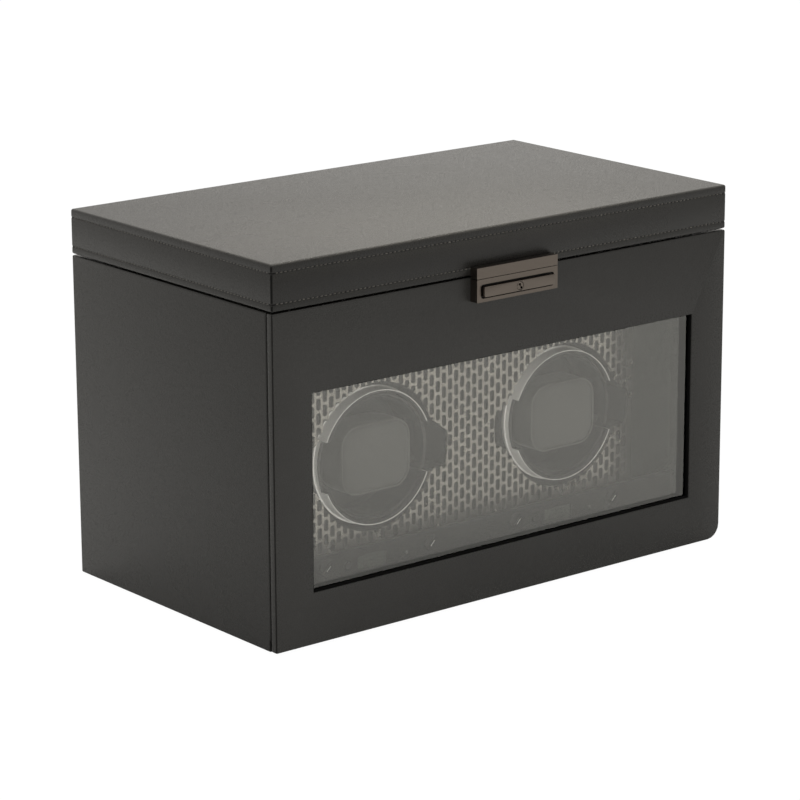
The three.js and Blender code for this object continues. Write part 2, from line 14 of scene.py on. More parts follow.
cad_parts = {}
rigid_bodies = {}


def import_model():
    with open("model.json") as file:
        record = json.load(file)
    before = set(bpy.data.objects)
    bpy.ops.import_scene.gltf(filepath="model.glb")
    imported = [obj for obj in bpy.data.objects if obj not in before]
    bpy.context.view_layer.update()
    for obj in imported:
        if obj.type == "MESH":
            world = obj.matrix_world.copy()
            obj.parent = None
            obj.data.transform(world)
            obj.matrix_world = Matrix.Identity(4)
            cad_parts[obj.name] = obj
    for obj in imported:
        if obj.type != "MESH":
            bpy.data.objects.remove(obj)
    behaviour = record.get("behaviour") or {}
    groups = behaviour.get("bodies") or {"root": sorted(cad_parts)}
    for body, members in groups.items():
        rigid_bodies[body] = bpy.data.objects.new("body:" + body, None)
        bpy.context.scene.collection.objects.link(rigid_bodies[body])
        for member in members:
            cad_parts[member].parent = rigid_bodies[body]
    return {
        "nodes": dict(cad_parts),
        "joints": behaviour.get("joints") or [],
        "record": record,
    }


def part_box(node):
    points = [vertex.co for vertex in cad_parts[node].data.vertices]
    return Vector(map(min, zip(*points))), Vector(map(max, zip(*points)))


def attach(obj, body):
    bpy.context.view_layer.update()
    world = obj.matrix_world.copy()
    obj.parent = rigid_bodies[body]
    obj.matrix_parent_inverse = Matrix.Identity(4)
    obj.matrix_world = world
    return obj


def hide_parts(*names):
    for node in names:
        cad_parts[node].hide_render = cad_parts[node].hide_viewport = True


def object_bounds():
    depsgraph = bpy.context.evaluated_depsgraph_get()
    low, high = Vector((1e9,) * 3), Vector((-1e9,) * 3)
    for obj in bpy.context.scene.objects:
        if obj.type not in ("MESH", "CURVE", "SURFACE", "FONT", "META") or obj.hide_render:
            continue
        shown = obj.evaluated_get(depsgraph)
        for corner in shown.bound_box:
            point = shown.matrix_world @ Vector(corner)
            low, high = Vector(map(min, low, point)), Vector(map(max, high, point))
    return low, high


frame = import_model()
CAD_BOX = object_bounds()

MM = 0.001
NODES = frame["nodes"]
BODY_OF = {node: body for body, nodes in frame["record"]["behaviour"]["bodies"].items() for node in nodes}
SLOT_OF = {entry["node"]: entry["material_slot"] for entry in frame["record"]["subparts"]}
SIDES = ("left", "right")


# ---- node material helpers ----


def put(tree, socket, value):
    """Links a socket to another, or gives it a plain value."""
    if isinstance(value, bpy.types.NodeSocket):
        tree.links.new(value, socket)
    else:
        socket.default_value = value


def add_node(tree, kind, inputs=None, **settings):
    node = tree.nodes.new(kind)
    for key, value in settings.items():
        setattr(node, key, value)
    for key, value in (inputs or {}).items():
        put(tree, node.inputs[key], value)
    return node


class Shader:
    """A material's node tree with short ways to add nodes and link them."""

    def __init__(self, name):
        self.material = bpy.data.materials.new(name)
        self.material.use_nodes = True
        self.tree = self.material.node_tree
        self.surface = self.tree.nodes["Principled BSDF"]
        self.place = self.add("ShaderNodeTexCoord").outputs["Object"]

    def add(self, kind, inputs=None, **settings):
        return add_node(self.tree, kind, inputs, **settings)

    def set(self, **values):
        for key, value in values.items():
            put(self.tree, self.surface.inputs[key.replace("_", " ")], value)

    def stretched(self, scale):
        return self.add("ShaderNodeMapping", {"Vector": self.place, "Scale": scale}).outputs["Vector"]

    def noise(self, scale, detail, roughness=0.55, place=None):
        inputs = {"Vector": place or self.place, "Scale": scale, "Detail": detail, "Roughness": roughness}
        return self.add("ShaderNodeTexNoise", inputs).outputs["Fac"]

    def cells(self, scale, feature, place):
        inputs = {"Vector": place, "Scale": scale}
        return self.add("ShaderNodeTexVoronoi", inputs, feature=feature).outputs["Distance"]

    def span(self, value, low, high, from_low=0.0, from_high=1.0):
        source = {"Value": value, "From Min": from_low, "From Max": from_high}
        return self.add("ShaderNodeMapRange", source | {"To Min": low, "To Max": high}).outputs["Result"]

    def maths(self, operation, a, b):
        return self.add("ShaderNodeMath", {0: a, 1: b}, operation=operation).outputs["Value"]

    def mixed(self, factor, a, b):
        node = self.add("ShaderNodeMix", data_type="RGBA")
        sockets = [s for s in node.inputs if s.type == "RGBA"]
        for socket, value in zip(sockets, (a, b)):
            socket.default_value = (*value, 1.0)
        self.tree.links.new(factor, node.inputs["Factor"])
        return next(s for s in node.outputs if s.type == "RGBA")

    def bump(self, height, distance, normal=None):
        inputs = {"Height": height, "Distance": distance}
        if normal is not None:
            inputs["Normal"] = normal
        return self.add("ShaderNodeBump", inputs).outputs["Normal"]


def blended(tree, factor, first, second, output):
    """Mixes two shaders by a factor into a tree's output node."""
    blend = tree.nodes.new("ShaderNodeMixShader")
    for source, socket in zip((factor, first, second), blend.inputs):
        tree.links.new(source, socket)
    tree.links.new(blend.outputs["Shader"], tree.nodes[output].inputs["Surface"])


def shades(color, spread):
    """Two colours a little darker and a little lighter than the given one."""
    return tuple(c * (1 - spread) for c in color), tuple(c * (1 + spread) for c in color)


def leather(name, color, specular=0.28, roughness=0.27):
    """Pebbled artificial leather: cells for the pebbles, fine noise for the pores."""
    s = Shader(name)
    warp = s.noise(260.0, detail=2.0)
    shift = s.add("ShaderNodeCombineXYZ", {"X": warp, "Y": warp, "Z": warp}).outputs["Vector"]
    small = s.add("ShaderNodeVectorMath", {0: shift, "Scale": 0.0011}, operation="SCALE").outputs["Vector"]
    place = s.add("ShaderNodeVectorMath", {0: s.place, 1: small}, operation="ADD").outputs["Vector"]
    pebble = s.cells(820.0, "DISTANCE_TO_EDGE", place)
    pore = s.noise(3200.0, detail=3.0)
    patch = s.noise(14.0, detail=3.0)
    crease = s.span(pebble, 0.0, 1.0, 0.0, 0.16)
    s.set(
        Base_Color=s.mixed(s.maths("MULTIPLY", crease, patch), *shades(color, 0.28)),
        Roughness=s.maths("ADD", s.span(crease, roughness + 0.14, roughness), s.span(patch, -0.02, 0.02)),
        Normal=s.bump(pore, 0.00003, normal=s.bump(crease, PEBBLE_DEPTH)),
        Specular_IOR_Level=specular,
    )
    return s.material


def suede(name, color, sheen=0.35):
    """Short nap: fine noise, brushed patches and a soft sheen."""
    s = Shader(name)
    nap = s.noise(2600.0, detail=5.0, roughness=0.7)
    brushed = s.noise(34.0, detail=3.0)
    tone = s.maths("ADD", s.maths("MULTIPLY", nap, 0.6), s.maths("MULTIPLY", brushed, 0.5))
    s.set(
        Base_Color=s.mixed(tone, *shades(color, 0.35)),
        Roughness=0.95,
        Specular_IOR_Level=0.12,
        Sheen_Weight=sheen,
        Sheen_Roughness=0.45,
        Normal=s.bump(nap, 0.00012),
    )
    return s.material


def brushed_metal(name, color, roughness, brush=(1.0, 60.0, 60.0), depth=0.000006):
    """Metal with fine parallel brush lines and slightly uneven polish."""
    s = Shader(name)
    lines = s.noise(90.0, detail=5.0, roughness=0.75, place=s.stretched(brush))
    uneven = s.span(s.noise(45.0, detail=3.0), -0.05, 0.05)
    s.set(
        Base_Color=s.mixed(lines, *shades(color, 0.14)),
        Metallic=1.0,
        Roughness=s.maths("ADD", s.span(lines, roughness - 0.06, roughness + 0.08), uneven),
        Normal=s.bump(lines, depth),
    )
    return s.material


def polished_metal(name, color, roughness, metal):
    s = Shader(name)
    haze = s.noise(60.0, detail=4.0)
    scratch = s.noise(900.0, detail=2.0, place=s.stretched((1.0, 12.0, 1.0)))
    s.set(
        Base_Color=s.mixed(haze, *shades(color, 0.05)),
        Metallic=metal,
        Roughness=s.span(haze, roughness, roughness + 0.07),
        Normal=s.bump(scratch, 0.0000015),
    )
    return s.material


def moulded_plastic(name, color, roughness, texture=0.00002, specular=0.5):
    """Moulded plastic with a fine spark-eroded texture."""
    s = Shader(name)
    spark = s.noise(2400.0, detail=3.0, roughness=0.6)
    wear = s.noise(22.0, detail=4.0)
    s.set(
        Base_Color=s.mixed(wear, *shades(color, 0.12)),
        Roughness=s.span(wear, roughness - 0.05, roughness + 0.08),
        Specular_IOR_Level=specular,
        Normal=s.bump(spark, texture),
    )
    return s.material


def window_glass(name):
    """Clear float glass: straight-through light, and on each face a mirror that grows with the angle."""
    s = Shader(name)
    ripple = s.bump(s.noise(3.0, detail=1.0), 0.00002)
    clear = s.add("ShaderNodeBsdfTransparent", {"Color": (*GLASS_TINT, 1.0)}).outputs["BSDF"]
    polish = {"Color": (1.0, 1.0, 0.97, 1.0), "Roughness": 0.015, "Normal": ripple}
    mirror = s.add("ShaderNodeBsdfGlossy", polish).outputs["BSDF"]
    geometry = s.add("ShaderNodeNewGeometry").outputs
    inputs = {0: geometry["Incoming"], 1: geometry["Normal"]}
    facing = s.add("ShaderNodeVectorMath", inputs, operation="DOT_PRODUCT").outputs["Value"]
    turned_away = s.maths("POWER", s.maths("SUBTRACT", 1.0, s.maths("ABSOLUTE", facing, 0.0)), 5.0)
    blended(s.tree, s.span(turned_away, GLASS_MIRROR, 1.0), clear, mirror, "Material Output")
    return s.material


def fuzzy_felt(name, color):
    s = Shader(name)
    fibre = s.noise(1500.0, detail=6.0, roughness=0.8)
    s.set(
        Base_Color=s.mixed(fibre, *shades(color, 0.4)),
        Roughness=1.0,
        Specular_IOR_Level=0.05,
        Sheen_Weight=0.3,
        Normal=s.bump(fibre, 0.0003),
    )
    return s.material


def circuit(name):
    """Green solder mask over faint copper tracks."""
    s = Shader(name)
    tracks = s.cells(260.0, "DISTANCE_TO_EDGE", s.stretched((1.0, 1.0, 3.0)))
    line = s.span(tracks, 1.0, 0.0, 0.02, 0.06)
    s.set(Base_Color=s.mixed(line, (0.01, 0.06, 0.03), (0.03, 0.13, 0.06)), Roughness=0.3)
    return s.material


def display_face(name, color):
    """The dim face of a liquid-crystal display behind its cover."""
    s = Shader(name)
    cell = s.noise(1800.0, detail=2.0)
    s.set(
        Base_Color=s.mixed(cell, *shades(color, 0.08)),
        Roughness=0.12,
        Specular_IOR_Level=0.5,
        Coat_Weight=0.6,
        Normal=s.bump(cell, 0.000002),
    )
    return s.material


LEATHER_COLOR = (0.0125, 0.0122, 0.0112)
PEBBLE_DEPTH = 0.036 * MM
GLASS_MIRROR = 0.078
GLASS_TINT = (0.835, 0.836, 0.826)

MATERIALS = {
    "leather": leather("leather_black", LEATHER_COLOR),
    # Darker, duller leather for the seam grooves and bent corners: painted shade in the creases.
    "leather_painted_shade": leather("leather_crease_black", (0.005, 0.0048, 0.0044), specular=0.1, roughness=0.6),
    "leather_inner": leather("leather_inner_black", (0.012, 0.0118, 0.011), specular=0.25, roughness=0.55),
    "thread": suede("thread_black", (0.1, 0.095, 0.086), sheen=0.1),
    # Near-black dots for the needle holes: painted shade in the holes.
    "needle_hole_shade": fuzzy_felt("needle_hole_black", (0.002, 0.002, 0.002)),
    "suede": suede("suede_charcoal", (0.05, 0.048, 0.046)),
    "cuff": suede("suede_cuff", (0.16, 0.16, 0.155)),
    "piping": suede("piping_grey", (0.2, 0.2, 0.193), sheen=0.2),
    "felt": fuzzy_felt("felt_black", (0.012, 0.012, 0.011)),
    "painted_board": moulded_plastic("painted_board_black", (0.012, 0.012, 0.012), 0.6, 0.00003, 0.3),
    "gunmetal": brushed_metal("gunmetal_brushed", (0.122, 0.105, 0.091), 0.3),
    "polished_rim": polished_metal("rim_polished", (0.78, 0.76, 0.74), 0.3, 0.3),
    "lattice": brushed_metal("lattice_satin", (0.45, 0.425, 0.39), 0.24, (1.0, 1.0, 1.0), 0.000002),
    "black_plastic": moulded_plastic("black_plastic", (0.016, 0.016, 0.016), 0.42),
    "soft_touch": moulded_plastic("soft_touch_black", (0.02, 0.02, 0.02), 0.62, 0.000008, 0.35),
    "steel": brushed_metal("zinc_steel", (0.45, 0.45, 0.44), 0.3, (1.0, 1.0, 30.0)),
    "brass": brushed_metal("brass_turned", (0.55, 0.38, 0.14), 0.25, (1.0, 40.0, 1.0)),
    "rubber": moulded_plastic("rubber_black", (0.01, 0.01, 0.01), 0.85, 0.00004, 0.2),
    "seal": moulded_plastic("seal_black", (0.003, 0.003, 0.003), 0.9, 0.00002, 0.04),
    "circuit_board": circuit("solder_mask_green"),
    "screen": display_face("display_grey", (0.13, 0.142, 0.125)),
    "screen_ink": display_face("display_ink", (0.085, 0.093, 0.083)),
    "lens": display_face("lens_smoke", (0.16, 0.165, 0.16)),
    # Pale pointer line on the knobs, partly a mark and partly a painted highlight for their glint.
    "pointer_glint": moulded_plastic("marking_pale", (0.8, 0.8, 0.76), 0.35),
    "clear_glass": window_glass("glass_clear"),
}


# ---- mesh helpers ----


CREASE = math.radians(38)
FLAT = math.radians(0.7)


def finish_mesh(name, mesh, material, body, replaced=(), smooth=True):
    """Links a mesh as a piece that rides on a body and stands for some CAD nodes."""
    piece = bpy.data.objects.new(name, mesh)
    bpy.context.scene.collection.objects.link(piece)
    slots = [face.material_index for face in mesh.polygons]
    mesh.materials.clear()
    for entry in material if isinstance(material, (list, tuple)) else [material]:
        mesh.materials.append(MATERIALS[entry])
    if len(mesh.materials) > 1:
        mesh.polygons.foreach_set("material_index", slots)
    if smooth:
        mesh.shade_smooth()
        mesh.set_sharp_from_angle(angle=CREASE)
    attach(piece, body)
    if replaced:
        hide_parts(*replaced)
    return piece


def to_mesh(name, bm):
    bmesh.ops.recalc_face_normals(bm, faces=bm.faces)
    mesh = bpy.data.meshes.new(name)
    bm.to_mesh(mesh)
    bm.free()
    return mesh


def bevelled(piece, width, segments, angle=38):
    """Rounds the sharp edges with a modifier and keeps the flats flat."""
    bevel = piece.modifiers.new("edges", "BEVEL")
    bevel.width = width * MM
    bevel.segments = segments
    bevel.limit_method = "ANGLE"
    bevel.angle_limit = math.radians(angle)
    bevel.harden_normals = True
    bevel.miter_outer = "MITER_ARC"
    return piece


def dress(node, material=None, bevel=0.0, segments=2):
    """The CAD node's own shape with clean flats, softly broken edges and its finished material."""
    bm = bmesh.new()
    bm.from_mesh(NODES[node].data)
    bm.transform(NODES[node].matrix_world)
    bmesh.ops.remove_doubles(bm, verts=bm.verts, dist=2e-6)
    bmesh.ops.dissolve_limit(bm, angle_limit=FLAT, verts=bm.verts, edges=bm.edges)
    piece = finish_mesh(f"{node}_made", to_mesh(node, bm), material or SLOT_OF[node], BODY_OF[node], [node])
    if bevel:
        bevelled(piece, bevel, segments, 40)
    return piece


def boxed(bm, low, high):
    """Adds a plain box between two corners and returns its vertices."""
    size = [h - l for l, h in zip(low, high)]
    centre = [(h + l) / 2 for l, h in zip(low, high)]
    matrix = Matrix.Translation(centre) @ Matrix.Diagonal((*size, 1.0))
    return bmesh.ops.create_cube(bm, size=1.0, matrix=matrix)["verts"]


def block_mesh(name, *boxes):
    bm = bmesh.new()
    for low, high in boxes:
        boxed(bm, low, high)
    return to_mesh(name, bm)


def applied(piece):
    """Turns the modifiers' result into the piece's own mesh."""
    depsgraph = bpy.context.evaluated_depsgraph_get()
    made = bpy.data.meshes.new_from_object(piece.evaluated_get(depsgraph), depsgraph=depsgraph)
    piece.modifiers.clear()
    piece.data = made
    return piece


def carve(mesh, cutter):
    """One mesh cut by another."""
    objects = [bpy.data.objects.new(m.name, m) for m in (mesh, cutter)]
    for o in objects:
        bpy.context.scene.collection.objects.link(o)
    boolean = objects[0].modifiers.new("cut", "BOOLEAN")
    boolean.operation = "DIFFERENCE"
    boolean.object = objects[1]
    boolean.solver = "MANIFOLD"
    result = applied(objects[0]).data
    for o in objects:
        bpy.data.objects.remove(o)
    return result


def loft(loops, closed=False, bm=None):
    """Joins loops of equal length into a skin, with flat ends or closed on itself."""
    if bm is None:
        bm = bmesh.new()
    rings = [[bm.verts.new(p) for p in loop] for loop in loops]
    count = len(rings[0])
    pairs = list(zip(rings, rings[1:])) + ([(rings[-1], rings[0])] if closed else [])
    for a, b in pairs:
        for i in range(count):
            j = (i + 1) % count
            bm.faces.new((a[i], a[j], b[j], b[i]))
    if not closed:
        bm.faces.new(rings[0][::-1])
        bm.faces.new(rings[-1])
    return bm


def rounded_loop(low, high, radii, steps=5):
    """2-D points round a rectangle whose corners are rounded, low-left first and anticlockwise."""
    (u0, v0), (u1, v1) = low, high
    corners = ((u0, v0, 1, 1, 180), (u1, v0, -1, 1, 270), (u1, v1, -1, -1, 0), (u0, v1, 1, -1, 90))
    points = []
    for (u, v, in_u, in_v, start), r in zip(corners, radii):
        for i in range(steps + 1):
            a = math.radians(start + 90 * i / steps)
            points.append((u + in_u * r + r * math.cos(a), v + in_v * r + r * math.sin(a)))
    return points


def turned(profile, x, z, segments, closed=False):
    """A solid of revolution about an axis along Y, from a profile of (radius, y) in metres."""
    angles = [2 * math.pi * i / segments for i in range(segments)]
    loops = [[(x + r * math.cos(a), y, z + r * math.sin(a)) for a in angles] for r, y in profile]
    bm = loft(loops, closed=closed)
    bmesh.ops.remove_doubles(bm, verts=bm.verts, dist=1e-7)
    return bm


def fillet(u, v, radius, start, end, steps=4):
    """Points of an arc about (u, v), angles in degrees."""
    points = []
    for i in range(steps + 1):
        a = math.radians(start + (end - start) * i / steps)
        points.append((u + radius * math.cos(a), v + radius * math.sin(a)))
    return points


# ---- places taken from the frame ----

LID_LOW, LID_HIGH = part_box("lid_shell")
DOOR_LOW, DOOR_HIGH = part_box("door_frame")
GLASS_LOW, GLASS_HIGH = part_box("door_glass")
PLATE_LOW, PLATE_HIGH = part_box("mesh_plate")
FRONT = DOOR_LOW.y
JOINT_PLACES = {j["name"]: Vector(j["pos_m"]) for j in frame["joints"] if "pos_m" in j}
PIVOT = JOINT_PLACES["door_hinge"]
AXES = {side: JOINT_PLACES[f"drum_{side}_spin"] for side in SIDES}


# ---- leather-covered shells ----

STITCH_ROWS = (LID_LOW.z + 4.3 * MM, LID_HIGH.z - 5.0 * MM)
STITCH_PITCH = 3.0
STITCH_LEAN = math.radians(7)
STITCH_MARGIN = 2.6 * MM
THREAD_SIZE = (0.9 * MM, 0.36 * MM, 0.42 * MM)
HOLE_SIZE = (0.85 * MM, 0.85 * MM, 0.4 * MM)
GROOVE_DEPTH = 0.3
GROOVE_HALF = 0.75


def lid_loop(inset, z, radius):
    r = max(radius - inset, 0.6 * MM)
    low = (LID_LOW.x + inset, LID_LOW.y + inset)
    high = (LID_HIGH.x - inset, LID_HIGH.y - inset)
    return [(x, y, z) for x, y in rounded_loop(low, high, [r] * 4)]


def lid_profile():
    """(inset, height) of the lid's skin, from the roof's underside, round the rim, to the top."""
    wall, roof = 9.0 * MM, 6.0 * MM
    under, over = 1.2 * MM, 1.4 * MM
    bottom, top = LID_LOW.z, LID_HIGH.z
    profile = [(wall, top - roof), (wall, bottom + 1.0 * MM), (wall - 0.8 * MM, bottom)]
    profile += [(under - u, bottom + under + v) for u, v in fillet(0, 0, under, -90, 0)]
    for row in STITCH_ROWS:
        for step in (-1.0, -0.5, 0.0, 0.5, 1.0):
            depth = GROOVE_DEPTH * MM * (0.5 + 0.5 * math.cos(math.pi * step))
            profile.append((depth, row + step * GROOVE_HALF * MM))
    profile += [(over - u, top - over + v) for u, v in fillet(0, 0, over, 0, 90)]
    return profile


def creased(mesh, inside):
    """Marks the faces whose centre passes a test, so that they take the second material."""
    for face in mesh.polygons:
        face.material_index = 1 if inside(face.center, face.normal) else 0
    return mesh


def lid_painted_shade_faces(centre, normal):
    """Faces that take the darker leather as painted shade: the bottom of each seam groove, and the vertical
    corners where the leather folds.
    """
    roof = LID_HIGH.z - 1.2 * MM
    if centre.z > roof or min(abs(centre.z - row) for row in STITCH_ROWS) < 0.4 * MM:
        return centre.z < roof and abs(normal.z) < 0.9
    return abs(normal.x) > 0.3 and abs(normal.y) > 0.3 and abs(normal.z) < 0.3


def make_lid():
    loops = [lid_loop(inset, z, 1.3 * MM) for inset, z in lid_profile()]
    # The seam grooves and the corners take the darker leather, painted shade in the creases.
    mesh = creased(to_mesh("lid", loft(loops)), lid_painted_shade_faces)
    finish_mesh("lid", mesh, ["leather", "leather_painted_shade"], "lid", ["lid_shell"])


def ball():
    """Corners and faces of a unit sphere, to be stamped many times."""
    bm = bmesh.new()
    bmesh.ops.create_icosphere(bm, subdivisions=2, radius=1.0)
    corners = [v.co.copy() for v in bm.verts]
    faces = [[v.index for v in f.verts] for f in bm.faces]
    bm.free()
    return corners, faces


class Stamps:
    """Many small copies of simple shapes gathered into one mesh."""

    def __init__(self):
        self.corners, self.faces, self.materials = [], [], []

    def add(self, shape, matrix, material=0):
        first = len(self.corners)
        self.corners += [matrix @ c for c in shape[0]]
        self.faces += [[first + i for i in face] for face in shape[1]]
        self.materials += [material] * len(shape[1])

    def mesh(self, name):
        mesh = bpy.data.meshes.new(name)
        mesh.from_pydata(self.corners, [], self.faces)
        mesh.polygons.foreach_set("material_index", self.materials)
        return mesh


BALL = ball()


def stitch_run(stamps, start, end, outward, z):
    """A row of slightly leaning thread stitches along one side of the lid, with near-black needle holes
    that are painted shade.
    """
    along = (end - start).normalized()
    count = int((end - start).length / (STITCH_PITCH * MM))
    step = (end - start).length / count
    direction = along * math.cos(STITCH_LEAN) + Vector((0, 0, 1)) * math.sin(STITCH_LEAN)
    turn = Matrix((direction, outward.cross(direction), outward)).transposed().to_4x4()
    thread_size, hole_size = (Matrix.Diagonal((*size, 1.0)) for size in (THREAD_SIZE, HOLE_SIZE))
    for i in range(count):
        spot = start + along * step * (i + 0.5) - outward * GROOVE_DEPTH * MM
        spot.z = z
        thread = Matrix.Translation(spot - outward * 0.06 * MM)
        stamps.add(BALL, thread @ turn @ thread_size, 0)
        # Each needle hole is a near-black dot of painted shade.
        hole = Matrix.Translation(spot + along * (step / 2) - outward * 0.12 * MM)
        stamps.add(BALL, hole @ turn @ hole_size, 1)


def make_lid_stitching():
    x0, x1, y0, y1 = LID_LOW.x, LID_HIGH.x, LID_LOW.y, LID_HIGH.y
    corners = [Vector((x, y, 0)) for x, y in ((x0, y0), (x1, y0), (x1, y1), (x0, y1))]
    stamps = Stamps()
    for z in STITCH_ROWS:
        for here, there in zip(corners, corners[1:] + corners[:1]):
            along = (there - here).normalized()
            margin = along * STITCH_MARGIN
            stitch_run(stamps, here + margin, there - margin, Vector((along.y, -along.x, 0)), z)
    mesh = stamps.mesh("lid_stitching")
    finish_mesh("lid_stitching", mesh, ["thread", "needle_hole_shade"], "lid")


# Radii of the door's corners: lower left, lower right, upper right, upper left.
DOOR_CORNERS = (1.0, 9.0, 1.0, 1.0)
SKIN = 5.0
WINDOW_LIP = 3.0
PANE_COVER = 2.7
LOCK_NOTCH_HALF = 9.0
LOCK_NOTCH_RISE = 182.1


def frame_loop(low, high, radii, y):
    return [(x, y, z) for x, z in rounded_loop(low, high, radii)]


def lock_notch(y0, y1):
    """The room for the catch, cut down from the door's upper edge."""
    half, foot = LOCK_NOTCH_HALF * MM, DOOR_LOW.z + LOCK_NOTCH_RISE * MM
    return block_mesh("notch", ((-half, y0, foot), (half, y1, DOOR_HIGH.z + MM)))


def make_door():
    """The door's leather skin and window, one closed ring lofted round its section."""
    skin, cover = SKIN * MM, Vector((PANE_COVER, PANE_COVER)) * MM
    window_low, window_high = GLASS_LOW.xz + cover, GLASS_HIGH.xz - cover

    def outer(inset, y):
        radii = [max(r * MM - inset, 0.3 * MM) for r in DOOR_CORNERS]
        shift = Vector((inset, inset))
        return frame_loop(DOOR_LOW.xz + shift, DOOR_HIGH.xz - shift, radii, FRONT + y)

    def window(inset, y):
        shift = Vector((inset, inset))
        return frame_loop(window_low - shift, window_high + shift, [0.3 * MM] * 4, FRONT + y)

    edge, mouth, behind = 1.0 * MM, 0.5 * MM, FRONT + 8 * MM
    lip = GLASS_LOW.y - 0.15 * MM - FRONT
    loops = [outer(edge - u, skin - edge + v) for u, v in fillet(0, 0, edge, 90, 0)]
    loops += [outer(edge - u, edge + v) for u, v in fillet(0, 0, edge, 0, -90)]
    loops += [window(mouth - u, mouth - v) for u, v in fillet(0, 0, mouth, 90, 0)]
    loops += [window(0.0, lip), window(WINDOW_LIP * MM, lip), window(WINDOW_LIP * MM, skin)]
    mesh = carve(to_mesh("door_skin", loft(loops, closed=True)), lock_notch(FRONT - MM, behind))
    for side in SIDES:
        low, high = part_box(f"door_pivot_{side}")
        x, half = (low.x + high.x) / 2, 4.4 * MM
        slot = ((x - half, FRONT + 0.9 * MM, PIVOT.z - 5 * MM), (x + half, behind, PIVOT.z + 1.8 * MM))
        mesh = carve(mesh, block_mesh("slot", slot))

    # Faces at the door's upright front corners take the darker leather as painted shade in the crease.
    def fold_in_shade(centre, normal):
        upright = abs(centre.x) > 0.16 and centre.y < FRONT + 1.2 * MM
        return upright and abs(normal.x) > 0.35 and normal.y < -0.35

    finish_mesh("door_skin", creased(mesh, fold_in_shade), ["leather", "leather_painted_shade"], "door", ["door_frame"])


def make_door_core():
    """The lined inner frame behind the skin, which carries the glass."""
    y0, y1 = FRONT + (SKIN + 0.05) * MM, DOOR_HIGH.y
    half, corner, r = 160.2 * MM, 2 * MM, 0.9 * MM
    low, high = Vector((-half, DOOR_LOW.z + 9.2 * MM)), Vector((half, DOOR_HIGH.z - 3.1 * MM))
    play = Vector((0.25, 0.25)) * MM
    loops = [frame_loop(low, high, [corner] * 4, y0)]
    for u, v in fillet(0, 0, r, 0, 90):
        shift = Vector((r - u, r - u))
        loops.append(frame_loop(low + shift, high - shift, [corner - shift.x] * 4, y1 - r + v))
    loops += [frame_loop(GLASS_LOW.xz - play, GLASS_HIGH.xz + play, [0.4 * MM] * 4, y) for y in (y1, y0)]
    mesh = carve(to_mesh("door_core", loft(loops, closed=True)), lock_notch(FRONT, y1 + MM))
    finish_mesh("door_core", mesh, "leather_inner", "door")


def make_side_panel(side):
    """A wrapped side board: a profile with relief for the door's lip, rounded along its edges."""
    node = f"side_panel_{side}"
    low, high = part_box(node)
    relief_y, relief_z = FRONT + 6.5 * MM, low.z + 6.8 * MM
    corners = [(relief_y, low.z), (high.y, low.z), (high.y, high.z), (low.y, high.z)]
    corners += [(low.y, relief_z), (relief_y, relief_z)]
    bm = loft([[(x, y, z) for y, z in corners] for x in (low.x, high.x)])
    outer_x = low.x if side == "left" else high.x
    near = 1e-6
    rear = [
        e for e in bm.edges
        if all(abs(v.co.x - outer_x) < near and abs(v.co.y - high.y) < near for v in e.verts)
    ]
    bmesh.ops.bevel(bm, geom=rear, offset=1.4 * MM, segments=5, profile=0.5, affect="EDGES")
    rest = [
        e for e in bm.edges
        if all(abs(v.co.x - outer_x) < near or v.co.y > high.y - 2.1 * MM for v in e.verts)
        and len(e.link_faces) == 2
        and e.calc_face_angle(0) > math.radians(60)
    ]
    bmesh.ops.bevel(bm, geom=rest, offset=0.9 * MM, segments=4, profile=0.5, affect="EDGES")
    finish_mesh(f"case_{side}_side", to_mesh(node, bm), "leather", "case", [node])


def make_panels():
    for side in SIDES:
        make_side_panel(side)
    dress("rear_panel", bevel=0.7, segments=3)
    dress("base_panel", "leather_inner", bevel=0.7, segments=3)
    dress("shelf_panel", bevel=0.3)
    dress("felt_base_pad", bevel=0.4)


# ---- window side: glass, retainer, lattice plate ----


def make_seal():
    """The black rubber strip between the pane and the edge of the window, deepest along the foot."""
    cover = Vector((PANE_COVER + 0.05, PANE_COVER + 0.05)) * MM
    low, high = GLASS_LOW.xz + cover, GLASS_HIGH.xz - cover
    y0, y1, soft = FRONT + 0.7 * MM, GLASS_LOW.y - 0.1 * MM, 0.25 * MM
    side, foot, head = 0.7 * MM, 1.0 * MM, 0.35 * MM

    def inner(extra, y):
        corner_low = low + Vector((side - extra, foot - extra))
        corner_high = high - Vector((side - extra, head - min(extra, 0.1 * MM)))
        return frame_loop(corner_low, corner_high, [0.4 * MM] * 4, y)

    loops = [frame_loop(low, high, [0.3 * MM] * 4, y) for y in (y1, y0)]
    loops += [inner(soft - v, y0 + soft - u) for u, v in fillet(0, 0, soft, 0, 90, 3)]
    loops.append(inner(0.0, y1))
    finish_mesh("window_seal", to_mesh("seal", loft(loops, closed=True)), "seal", "door")


def make_glazing():
    make_seal()
    dress("door_glass", bevel=0.3)
    dress("glass_retainer", "seal", bevel=0.4)


SLOT_HALF_WIDTH = 1.62
SLOT_HALF_HEIGHT = 3.4
SLOT_CORNER = 1.2
COLUMNS = 70
ROWS = 13
PERFORATED = 0.126
BRIGHT_PLATE = PERFORATED + 0.002


